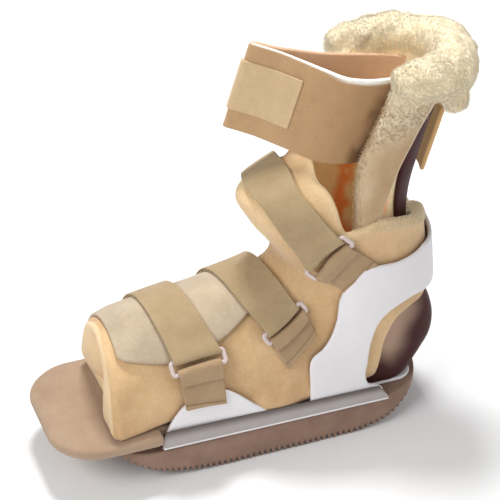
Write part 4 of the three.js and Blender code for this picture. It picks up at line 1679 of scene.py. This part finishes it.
@dataclass
class CalfLiner:
    """Fleece behind the calf: an inner gutter, a fat rolled top, a short hang behind it and two lapels.

    Attributes:
        gutter: Half width of the inner sheet.
        centre: Depth of the gutter's arc centre ahead of the splint.
        depth: Depth of the gutter's front edge on the near side, then on the far side.
        forward: Direction of that depth in side view.
        stations: Shares of the splint between which the gutter stands.
        wall: Thickness of the sheets.
        lapel_out: Distance of the lapel's outside from the middle.
        lapel_wall: Thickness of a lapel at its front and at its free edge.
        voxel: Cell of the skin that joins the fleece.
        pile: Length of the hairs.
        hairs: Number of hairs on the roll.
        fuzz: Number of hairs on each lapel.
    """

    gutter: float = 31.0
    centre: float = 37
    depth: tuple[float, float] = (46, 74)
    forward: tuple[float, float] = (-0.993, 0.12)
    stations: tuple[float, float] = (0.04, 0.93)
    wall: float = 6.5
    lapel_out: float = 43.0
    lapel_wall: tuple[float, float] = (11.0, 3.6)
    voxel: float = 1.9
    pile: float = 2.2
    hairs: int = 24000
    fuzz: int = 3000

    def inner(self) -> Surface:
        """Upright sheet with a U plan: an arc at the back and straight walls to the front.

        Returns:
            The gutter.
        """
        share = np.linspace(*self.stations, 40)
        spine = spline(SPLINT_STATIONS[:, :2], share)
        turn = np.linspace(0.5 * np.pi, -0.5 * np.pi, 40)
        arc = np.stack([self.gutter * np.sin(turn), self.centre - self.gutter * np.cos(turn)], axis=1)
        walls = [
            np.stack([np.full(12, self.gutter), np.linspace(depth, self.centre, 12, endpoint=False)], axis=1)
            for depth in self.depth
        ]
        plan = np.concatenate([walls[0], arc, walls[1][::-1] * [-1, 1]])
        middle = np.empty((40, len(plan), 3))
        middle[..., 0] = plan[:, 0]
        middle[..., 1:] = spine[:, None] + plan[:, 1][None, :, None] * np.array(self.forward)
        return sheet(middle, np.full(middle.shape[:2], 0.5 * self.wall))

    def hang(self) -> Surface:
        """Short curtain of fleece behind the splint, from its lower edge up to the roll.

        Returns:
            The curtain.
        """
        near = along(HANG_EDGE, 60)
        edge = np.concatenate([near, near[-2::-1] * [-1, 1, 1, -1, 1, 1]])
        level = np.linspace(0, 1, 24)[:, None, None]
        middle = lerp(edge[None, :, :3], edge[None, :, 3:], level)
        return sheet(middle, np.full(middle.shape[:2], 0.5 * self.wall))

    def roll(self) -> Surface:
        """Tube of changing radius along the rolled top, drawn in at its two ends.

        Returns:
            The roll.
        """
        path = along(ROLL_PATH, 70)
        centre, radius = path[:, :3], path[:, 3]
        tangent = unit(np.gradient(centre, axis=0))
        side = unit(np.cross(tangent, [0, 0, 1.0]))
        lift = np.cross(side, tangent)
        turn = np.linspace(0, 2 * np.pi, 28, endpoint=False)[None, :, None]
        spoke = np.cos(turn) * side[:, None] + np.sin(turn) * lift[:, None]
        rings = centre[:, None] + radius[:, None, None] * spoke
        tips = centre[[0, -1]] + 0.6 * radius[[0, -1], None] * tangent[[0, -1]] * [[-1], [1]]
        ends = 0.45 * rings[[0, -1]] + 0.55 * tips[:, None]
        return capped(np.concatenate([ends[:1], rings, ends[1:]]))

    def lapel(self, side: Side) -> Surface:
        """Sheet down one side, from its fluffy front edge to the crisp edge beside the splint.

        It leans in towards the collar at its foot, and bows out a little between its edges.

        Args:
            side: Which side it is on.

        Returns:
            The lapel, with its fleecy part, piping and front edge marked.
        """
        edges = along(LAPEL, 90)
        across = edged(26, 34, 2.0)[None]
        flat = lerp(edges[:, None, :2], edges[:, None, 2:], across[..., None])
        bow = 1.8 * np.sin(np.pi * across) - 2.5 * smooth(0.35, 0.0, across)
        tuck = 4.0 * smooth(190, 166, flat[..., 1]) + 3.0 * smooth(262, 284, flat[..., 1])
        wall = lerp(*self.lapel_wall, smooth(0, 0.9, across))
        x = self.lapel_out - 0.5 * wall + bow - tuck
        middle = np.concatenate([side.value * x[..., None], flat], axis=-1)
        width = np.linalg.norm(edges[:, 2:] - edges[:, :2], axis=1)[:, None]
        distance = np.minimum(from_ends(across, width), 30)
        cloud = 0.5 + 0.5 * noise(middle, 16.0, 47, 2)
        fleecy = 0.4 * smooth(0.6, 0.05, across + 0.35 * cloud - 0.2)
        fleecy = np.maximum(fleecy, smooth(215, 262, flat[..., 1] + 16 * cloud - 24 * across))
        piping = np.broadcast_to(0.9 * smooth(0.9, 0.97, across), fleecy.shape)
        front = np.exp(-across * width / 5.0)
        half = 0.5 * wall * rim(distance, 0.5 * wall)
        return sheet(middle, half, None, {"fleecy": fleecy, "piping": piping, "front": front})

    def skin(self) -> tuple[Surface, Array]:
        """Gutter, hang and roll joined in one lumpy skin, pressed flat in the trough where the strap lies.

        Returns:
            The skin, with painted shade in its hollow and its trough and some random tone marked, and the
            density of its hairs.
        """
        skin = fused(joined([self.inner(), self.hang(), self.roll()]), self.voxel)
        lumps = 2.0 * noise(skin.points, 20.0, 41) + 2.2 * np.abs(noise(skin.points, 9.0, 42)) - 0.6
        lumps += 0.9 * np.abs(noise(skin.points, 4.8, 46))
        x, y, z = skin.points.T
        trough = smooth(36, 32, np.abs(x)) * smooth(276, 264, z) * smooth(136, 126, y)
        skin.points = skin.points + vertex_normals(skin) * (lumps * (1 - 0.85 * trough))[:, None]
        cloud = noise(skin.points, 14.0, 48, 2)
        # Painted shade: yellower in the hollow inside the roll, plus random patches of the same tone.
        skin.marks["honey"] = np.clip(smooth(38, 26, np.abs(x)) * smooth(286, 268, z) + 0.25 * cloud, 0, 1)
        # Painted shade: an orange streak deep in the trough below the strap, where shade falls between the
        # fleece walls.
        streak = smooth(9, 2, np.abs(y - 90 - 5 * cloud)) * smooth(-0.9, 0.3, noise(skin.points, 9.0, 49, 2))
        skin.marks["warm"] = 0.85 * streak * smooth(205, 190, z) * trough
        return skin, (1.0 - trough) * smooth(225, 245, z)

    def hair(self, roots: tuple[Array, Array], lean: Array, seed: int) -> Surface:
        """Hairs of the usual length at places with their normals."""
        return fibres(*roots, np.full(len(roots[0]), self.pile), lean, 0.2, seed)

    def build(self) -> None:
        """The fleece skin with its pile in two halves, then each lapel with its fuzz."""
        skin, shown = self.skin()
        lay("calf_fleece", skin, FLEECE, "fleece", "calf_liner")
        place, direction = scatter(skin, shown, self.hairs, 43)
        curl = 0.9 * np.stack([noise(place, 11.0, 44 + k) for k in range(3)], axis=1) - [0, 0, 0.25]
        for part, rows in enumerate(np.array_split(np.arange(len(place)), 2)):
            pile = self.hair((place[rows], direction[rows]), curl[rows], 50 + part)
            lay(f"calf_fleece_pile_{part + 1}", pile, PILE, "fleece")
        for side in Side:
            name = f"calf_lapel_{side.name.lower()}"
            cloth = self.lapel(side)
            lay(name, cloth, LAPEL_SUEDE, "liner_suede")
            fuzz = 0.6 * smooth(0.25, 0.7, cloth.marks["front"]) + smooth(0.3, 0.8, cloth.marks["fleecy"])
            roots = scatter(cloth, fuzz * (1 - cloth.marks["piping"]), self.fuzz, 60)
            pile = self.hair(roots, np.array([0, -0.3, -0.2]), 61)
            pile.marks["tan"] = smooth(272, 256, pile.points[:, 2])
            lay(f"{name}_fuzz", pile, PILE, "fleece")


def vertex_normals(surface: Surface) -> Array:
    """Unit normals at the vertices, from the faces round each.

    Args:
        surface: The surface.

    Returns:
        One vector for each vertex.
    """
    triangles = surface.triangles()
    a, b, c = (surface.points[triangles[:, k]] for k in range(3))
    total = np.zeros_like(surface.points)
    for k in range(3):
        np.add.at(total, triangles[:, k], np.cross(b - a, c - a))
    return unit(total)


def fused(surface: Surface, voxel: float) -> Surface:
    """One skin round several overlapping closed surfaces, by a voxel remesh and two rounds of averaging.

    Args:
        surface: The overlapping surfaces.
        voxel: Cell of the remesh.

    Returns:
        The skin, of quads.
    """
    mesh = mesh_of("Layers", surface)
    layers = bpy.data.objects.new("Layers", mesh)
    bpy.context.scene.collection.objects.link(layers)
    modifier = layers.modifiers.new("Remesh", "REMESH")
    modifier.mode = "VOXEL"
    modifier.voxel_size = voxel * MM
    result = layers.evaluated_get(bpy.context.evaluated_depsgraph_get()).to_mesh()
    points = np.empty(3 * len(result.vertices), np.float32)
    corners = np.empty(len(result.loops), np.int32)
    result.vertices.foreach_get("co", points)
    result.loops.foreach_get("vertex_index", corners)
    points = points.reshape(-1, 3).astype(float) / MM
    faces = corners.reshape(-1, 4).astype(int)
    bpy.data.objects.remove(layers)
    bpy.data.meshes.remove(mesh)
    for _ in range(2):
        total, count = np.zeros_like(points), np.zeros(len(points))
        for k in range(4):
            np.add.at(total, faces[:, k], points[faces[:, (k + 1) % 4]] + points[faces[:, k - 1]])
            np.add.at(count, faces[:, k], 2)
        points = 0.5 * points + 0.5 * total / count[:, None]
    return Surface(points, [faces]).outward()


CALF_LINE = np.array([
    # reach along the middle line, side across it, rise up it, from under the near lapel to the far wall
    (-26, 23, 9), (-14, 25.2, 7), (-4, 25.4, 5), (5, 24, 3.5), (13.5, 19.6, 2), (23.1, 8.3, 1),
    (34.2, -4.8, 0), (47.3, -15.3, 0), (60, -21.6, 0), (65.2, -24.2, 0), (60, -26.4, 0), (47.3, -23, 0),
    (30, -22.4, 0), (13, -22.8, 0), (-3.3, -23.9, 1), (-24, -25, 3), (-42, -22.6, 6), (-60, -15.5, 9),
], float)


@dataclass
class CalfStrap:
    """Wide strap inside the fleece, folded in front of the calf, and the tab that closes it.

    Attributes:
        centre: Middle of the loop.
        forward: Direction of reach.
        up: Direction across the strap.
        half: Half width of the strap.
        thick: Thickness.
        fold: Row of the line at the front fold.
        tab: Start and end of the tab, measured back from the fold.
        tab_height: Lower and upper edge of the tab across the strap.
        tab_lift: Distance of the tab's middle from the strap's.
        tab_size: Usual length and width of the tab, to space its points.
        run: Ends of the strap along its line, measured from the fold.
        back: Middle of the piece behind the splint, and its half height.
        back_ends: Its near and far end.
        back_bow: How far it bows, and the half width over which it does.
    """

    centre: tuple[float, float, float] = (0, 68.5, 244.1)
    forward: tuple[float, float, float] = (0, -0.951, 0.31)
    up: tuple[float, float, float] = (0, 0.31, 0.951)
    half: float = 32
    thick: float = 3.6
    fold: int = 9
    tab: tuple[float, float] = (-1.0, 43)
    tab_height: tuple[float, float] = (-17.5, 19.2)
    tab_lift: float = 2.6
    tab_size: tuple[float, float] = (45, 40)
    run: tuple[float, float] = (-122, 128)
    back: tuple[float, float, float] = (140.4, 214.5, 24)
    back_ends: tuple[float, float] = (14, -30)
    back_bow: tuple[float, float] = (9, 26)

    def band(self, run: Array, height: Array, lift: float) -> Array:
        """Points of the strap, carried along its line.

        Args:
            run: Lengths along the line, from the fold.
            height: Heights across the strap.
            lift: Distance by which they are moved out.

        Returns:
            A point for each pair.
        """
        share = np.linspace(0, 1, 1500)
        line = spline(CALF_LINE, share)
        length = run_length(line)
        ahead = unit(np.gradient(line, axis=0))
        line = line + np.stack([-ahead[:, 1], ahead[:, 0], 0 * length], axis=1) * lift
        run = run + np.interp(self.fold / (len(CALF_LINE) - 1), share, length)
        reach, side, rise = (np.interp(run, length, column) for column in line.T)
        points = np.array(self.centre) + reach[..., None] * np.array(self.forward)
        points = points + (height + rise)[..., None] * np.array(self.up)
        points[..., 0] = side
        return points

    def strap(self) -> Surface:
        """Band of brushed cloth with a white cut edge along its top, painted shade towards its near end and a
        painted brown shadow beside the lapel.

        Returns:
            The band, with what shows on it marked.
        """
        width = 2 * self.half
        length = edged(220, 240, 2.0)
        level = edged(26, width, 2.0)[::-1]
        height = np.broadcast_to(self.half * (2 * level - 1)[:, None], (len(level), len(length)))
        middle = self.band(np.broadcast_to(lerp(*self.run, length), height.shape), height, 0.0)
        middle += 0.5 * noise(middle, 45.0, 70)[..., None] * np.array([1.0, 0, 0])
        white = lerp(0.95, 0.99, smooth(0.05, 0.4, length))[None]
        edge = smooth(white - 0.01, white + 0.01, level[:, None]) * smooth(0.5, 0.47, length)[None]
        shade = 0.9 * smooth(0.36, 0.12, length)[None] * np.ones(height.shape)
        x, y, z = np.moveaxis(middle, -1, 0)
        lapel = along(LAPEL, 60)
        order = np.argsort(lapel[:, 1])
        apart = np.interp(z, lapel[order, 1], lapel[order, 0]) - y
        # Painted shadow: a broken brown band on the strap where it goes in under the lapel's front edge.
        shadow_patches = smooth(-0.3, 0.5, noise(middle, 12.0, 71, 2)) * smooth(15, 22, x)
        stain = 0.8 * smooth(9, 1, apart) * shadow_patches
        ends = from_ends(length, self.run[1] - self.run[0])[None]
        distance = np.minimum(from_ends(level, width)[:, None], ends)
        fills = {"edge": edge, "shade": shade, "stain": stain}
        cloth = sheet(middle, 0.5 * self.thick * rim(distance, 1.2), None, fills)
        # Painted light: one face of the strap gets a lighter colour, lifting the shade inside its loop.
        cloth.marks["lined"] = cloth.marks["skin"].copy()
        return cloth

    def back_piece(self) -> Surface:
        """Short run of the strap behind the splint, bowed across it and leaning with it.

        Returns:
            The piece.
        """
        across = edged(40, 44, 1.5)[None]
        level = edged(22, 46, 1.5)[::-1][:, None]
        x = lerp(*self.back_ends, across)
        lean = self.back[2] * (2 * level - 1)
        bow, reach = self.back_bow
        y = self.back[0] + 0.29 * lean - bow * (np.abs(x + 2) / reach) ** 2
        z = np.broadcast_to(self.back[1] + 0.957 * lean, y.shape)
        middle = np.stack([np.broadcast_to(x, y.shape), y, z], axis=-1)
        distance = np.minimum(from_ends(level, 48), from_ends(across, 46))
        return sheet(middle, 0.5 * self.thick * rim(distance, 1.2))

    def closure(self) -> Surface:
        """Tab laid over the strap from its front fold, with slightly rounded corners.

        Returns:
            The tab.
        """
        long, wide = self.tab_size
        length = edged(60, long, 2.0)
        level = edged(24, wide, 1.5)[::-1]
        corner = 0.8
        inset = np.clip(corner - from_ends(length, long), 0, corner)
        inset = corner - np.sqrt(corner**2 - inset**2)
        low, high = self.tab_height
        height = lerp(low + inset[None], high - inset[None], level[:, None])
        run = np.broadcast_to(-lerp(*self.tab, length)[None], height.shape)
        middle = self.band(run, height, self.tab_lift)
        distance = np.minimum(from_ends(level, wide)[:, None], from_ends(length, long)[None])
        return sheet(middle, 0.9 * rim(distance, 0.9))

    def build(self) -> None:
        """Strap, its back piece and the tab."""
        lay("calf_strap_band", self.strap(), CALF_CLOTH, "calf_webbing", "calf_strap")
        lay("calf_strap_back", self.back_piece(), LIT_BACK_CLOTH, "calf_webbing", "strap_back")
        lay("closure_flap", self.closure(), CLOSURE_CLOTH, "closure_cloth", "closure_tab")


@dataclass
class FootStrap:
    """Strap over the foot, its ring on the near side and the webbing that anchors the ring.

    Attributes:
        name: Which strap it is.
        path: Rows of u and turn of its front edge, then of its rear edge, from the far side to the ring.
        foot: The same rows for the anchor, from its sewn end up to the ring.
        lift: Distance of the strap's under layer from the foot form.
        anchor_lift: The same for the anchor.
        bar: Half thickness of the ring's bars.
        thick: Thickness of the webbing.
        width: Usual width of the webbing, to space its points.
        rounding: Width of its rounded rims.
    """

    name: str
    path: Array
    foot: Array
    lift: float
    anchor_lift: float
    bar: float = 1.5
    thick: float = 1.5
    width: float = 32
    rounding: float = 0.8

    def bend(self) -> float:
        """Radius of the middle of the webbing where it goes round a bar."""
        return self.bar + 0.5 * self.thick + 0.2

    def laid(self, edges: Array, lift: Array, step: float) -> Surface:
        """Band of webbing between two edges on the form.

        Args:
            edges: Rows of u and turn of the front edge, then of the rear edge.
            lift: Distance of the rows from the form.
            step: Distance from row to row, for the rounding at the ends.

        Returns:
            The band.
        """
        across = edged(24, self.width, 1.2)[None]
        u = lerp(edges[:, :1], edges[:, 2:3], across)
        angle = lerp(edges[:, 1:2], edges[:, 3:4], across)
        distance = np.minimum(steps_in(len(edges), step), from_ends(across, self.width))
        return sheet(FORM.surface(u, angle, lift), 0.5 * self.thick * rim(distance, self.rounding))

    def looped(self, stops: Array, near: float, run: float, lift: float, over: float) -> Surface:
        """Doubled webbing: an under layer to the bar, half a turn round it and a second layer back on top.

        Args:
            stops: Rows of u and turn of both edges, the last one at the bar.
            near: Share of the stops where the second layer ends.
            run: Length in millimetres of one whole share.
            lift: Distance of the under layer's middle from the form.
            over: Distance between the layers once they lie flat.

        Returns:
            The band.
        """
        radius = self.bend()
        rows, settling = 90, 9.0
        turn = np.linspace(-0.5 * np.pi, 0.5 * np.pi, 18)[1:-1]
        under, back = np.linspace(0, 1, rows), np.linspace(1, near, rows)
        share = np.concatenate([under, 1 + radius * np.cos(turn) / run, back])
        settle = lerp(over, 2 * radius, np.exp(-(((1 - back) * run / settling) ** 2)))
        height = np.concatenate([np.zeros(rows), radius * (1 + np.sin(turn)), settle])
        slope = (spline(stops, 1.0) - spline(stops, 0.99)) / 0.01
        edges = spline(stops, np.clip(share, 0, 1)) + np.clip(share - 1, 0, None)[:, None] * slope
        return self.laid(edges, (lift + height)[:, None], 0.8)

    def length(self, stops: Array) -> float:
        """Length of the middle of a band.

        Args:
            stops: Rows of u and turn of both edges.

        Returns:
            The length in millimetres.
        """
        line = spline(stops, np.linspace(0, 1, 60))
        points = FORM.point(0.5 * (line[:, 0] + line[:, 2]), 0.5 * (line[:, 1] + line[:, 3]))
        return float(run_length(points)[-1])

    def strap(self) -> None:
        """Strap from the far side over the top and through the ring, closed back on itself."""
        band = self.looped(self.path, 0.14, self.length(self.path), self.lift, self.thick + 0.1)
        lay(f"{self.name}_strap_band", band, WEBBING, "strap_webbing", f"{self.name}_strap")

    def anchor(self) -> None:
        """Webbing from its hemmed foot up round the ring's lower bar, doubled at the top."""
        stops = np.stack([self.foot[0], self.foot.mean(axis=0), self.foot[1]])
        band = self.looped(stops, 0.7, self.length(stops), self.anchor_lift, self.thick)
        hem = self.laid(spline(stops, np.linspace(0.0, 0.17, 16)), self.anchor_lift + 0.8 * self.thick, 0.5)
        node = f"{self.name}_anchor"
        lay(f"{node}_band", joined([band, hem]), ANCHOR_WEBBING, "strap_webbing", node)

    def loop(self) -> None:
        """Rectangular ring: a rounded bar carried round a rectangle with round corners."""
        bars = np.stack([self.path[-1], self.foot[-1]])
        radius = self.bend()
        lifts = np.array([self.lift, self.anchor_lift]) + radius
        front = FORM.surface(bars[:, 0], bars[:, 1], lifts)
        rear = FORM.surface(bars[:, 2], bars[:, 3], lifts)
        centre = 0.25 * (front.sum(axis=0) + rear.sum(axis=0))
        long = unit((rear - front).sum(axis=0))
        cross = 0.5 * (front[0] + rear[0] - front[1] - rear[1])
        cross = cross - long * (cross @ long)
        high = 0.5 * np.linalg.norm(cross)
        out = np.cross(long, unit(cross))
        play, corner, bar_half, sides, square = 2.6, 2.0, 1.6, 16, 0.7
        half = 0.25 * np.linalg.norm((rear - front).sum(axis=0)) + play
        path = rounded_outline(-high, high, half, corner, corner)
        apart = np.linalg.norm(path - np.roll(path, 1, axis=0), axis=1) > 1e-6
        path = path[apart]
        ahead = unit(np.roll(path, -1, axis=0) - np.roll(path, 1, axis=0))
        side = np.stack([ahead[:, 1], -ahead[:, 0]], axis=1)
        turns = np.linspace(0, 2 * np.pi, sides, endpoint=False)
        wide = bar_half * np.sign(np.cos(turns)) * np.abs(np.cos(turns)) ** square
        tall = self.bar * np.sign(np.sin(turns)) * np.abs(np.sin(turns)) ** square
        flat = path[:, None] + side[:, None] * wide[None, :, None]
        points = centre + flat[..., :1] * long + flat[..., 1:] * unit(cross) + tall[None, :, None] * out
        index = np.arange(len(points) * sides).reshape(-1, sides)
        body = Surface(points.reshape(-1, 3), [grid_faces(index, True, True)]).outward()
        lay(f"{self.name}_ring_loop", body, RING_PLASTIC, "ring_plastic", f"{self.name}_ring")

    def build(self) -> None:
        """Strap, anchor and ring."""
        self.strap()
        self.anchor()
        self.loop()


def foot_straps() -> list[FootStrap]:
    """The three straps, from the toes to the ankle.

    Returns:
        The straps, with their places on the form.
    """
    # Each row: u and turn of the front edge, then u and turn of the rear edge
    toe = np.array([
        (0.09, -1.5, 0.172, -1.5), (0.096, -1.0, 0.176, -0.95), (0.102, -0.45, 0.184, -0.4),
        (0.107, 0.03, 0.1935, 0.06), (0.1115, 0.345, 0.1995, 0.33), (0.118, 0.62, 0.21, 0.63),
        (0.125, 0.935, 0.2225, 0.935),
    ])
    instep = np.array([
        (0.248, -1.5, 0.358, -1.4), (0.256, -1.0, 0.369, -0.9), (0.266, -0.45, 0.391, -0.4),
        (0.278, 0.06, 0.416, 0.06), (0.295, 0.5, 0.435, 0.47), (0.325, 0.935, 0.445, 0.797),
    ])
    ankle = np.array([
        (0.84, -1.2, 0.925, -1.3), (0.885, -0.75, 0.955, -0.85), (0.905, -0.262, 0.978, -0.4),
        (0.895, 0.32, 0.983, 0.138), (0.865, 0.608, 0.96, 0.636), (0.805, 0.797, 0.9375, 0.98),
        (0.722, 0.92, 0.9, 1.3),
    ])
    toe_foot = np.array([(0.1375, 1.60, 0.2175, 1.68), (0.13, 1.09, 0.2185, 1.085)])
    instep_foot = np.array([(0.355, 1.46, 0.455, 1.21), (0.3325, 1.06, 0.46, 0.908)])
    ankle_foot = np.array([(0.675, 1.26, 0.84, 1.705), (0.69, 0.99, 0.885, 1.39)])
    return [
        FootStrap("toe", toe, toe_foot, 4.3, 5.4),
        FootStrap("instep", instep, instep_foot, 4.3, 1.4),
        FootStrap("ankle", ankle, ankle_foot, 1.2, 1.2),
    ]


LIGHTS = (
    # name, place in metres, side in metres, power in watts
    ("Key", (0.7, -1.5, 1.6), 1.0, 24),
    ("Fill", (1.6, 0.5, 0.9), 1.4, 6),
    ("Top", (-0.45, 0.12, 1.7), 0.35, 25),
)


@dataclass
class Studio:
    """Pale floor, soft lights and the camera.

    Attributes:
        target: Point that the camera looks at.
        azimuth: Direction of the camera in degrees from the toes towards the near side.
        elevation: Its height in degrees.
        distance: Its distance.
        lens: Focal length for that width of film.
        film: Width of the film.
        ground: Half size of the floor.
        sky: Strength of the light from all round.
    """

    target: tuple[float, float, float] = (0, 5.8, 144.96)
    azimuth: float = 68.7
    elevation: float = 33.5
    distance: float = 1300
    lens: float = 132.9
    film: float = 36
    ground: float = 4000
    sky: float = 0.34

    def floor(self) -> None:
        """Large pale sheet under the object."""
        corners = np.array([(-1, -1, 0), (1, -1, 0), (1, 1, 0), (-1, 1, 0)]) * self.ground * MM
        mesh = bpy.data.meshes.new("Floor")
        mesh.from_pydata(corners.tolist(), [], [(0, 1, 2, 3)])
        floor = bpy.data.objects.new("Floor", mesh)
        bpy.context.scene.collection.objects.link(floor)
        mesh.materials.append(FLOOR_WHITE.material())

    def light(self, name: str, place: tuple, size: float, power: float) -> None:
        """Square soft light that faces the target.

        Args:
            name: Its name.
            place: Where it stands, in metres.
            size: Its side in metres.
            power: Its power in watts.
        """
        lamp = bpy.data.lights.new(name, "AREA")
        lamp.size = size
        lamp.energy = power
        holder = bpy.data.objects.new(name, lamp)
        holder.location = place
        aim = Vector(self.target) * MM - Vector(place)
        holder.rotation_euler = aim.to_track_quat("-Z", "Y").to_euler()
        bpy.context.scene.collection.objects.link(holder)

    def camera(self) -> None:
        """Camera at the photo's angle."""
        turn, tilt = math.radians(self.azimuth), math.radians(self.elevation)
        away = Vector((math.sin(turn) * math.cos(tilt), -math.cos(turn) * math.cos(tilt), math.sin(tilt)))
        data = bpy.data.cameras.new("Camera")
        data.lens = self.lens
        data.sensor_width = self.film
        holder = bpy.data.objects.new("Camera", data)
        holder.location = (Vector(self.target) + away * self.distance) * MM
        holder.rotation_euler = (-away).to_track_quat("-Z", "Y").to_euler()
        bpy.context.scene.collection.objects.link(holder)
        bpy.context.scene.camera = holder

    def build(self) -> None:
        """Set up the floor, the lights, the sky and the camera."""
        self.floor()
        for light in LIGHTS:
            self.light(*light)
        world = bpy.data.worlds.new("Studio")
        world.use_nodes = True
        sky = world.node_tree.nodes["Background"]
        sky.inputs["Color"].default_value = (1, 1, 1, 1)
        sky.inputs["Strength"].default_value = self.sky
        bpy.context.scene.world = world
        bpy.context.scene.view_settings.view_transform = "Standard"
        self.camera()


def main() -> None:
    """Build the pieces in order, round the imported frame."""
    logging.basicConfig(level=logging.INFO, format="%(name)s: %(message)s")
    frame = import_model()
    log.info("frame with %d nodes", len(frame["nodes"]))
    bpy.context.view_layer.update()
    hard = [WalkingSole(), ToePlate(), WhiteShell(), *map(GreyStrip, Side), Splint()]
    soft = [FootLiner(), TopFlap(), CalfLiner(), CalfStrap(), *foot_straps()]
    for part in (*hard, *soft, Studio()):
        part.build()


if __name__ == "__main__":
    main()
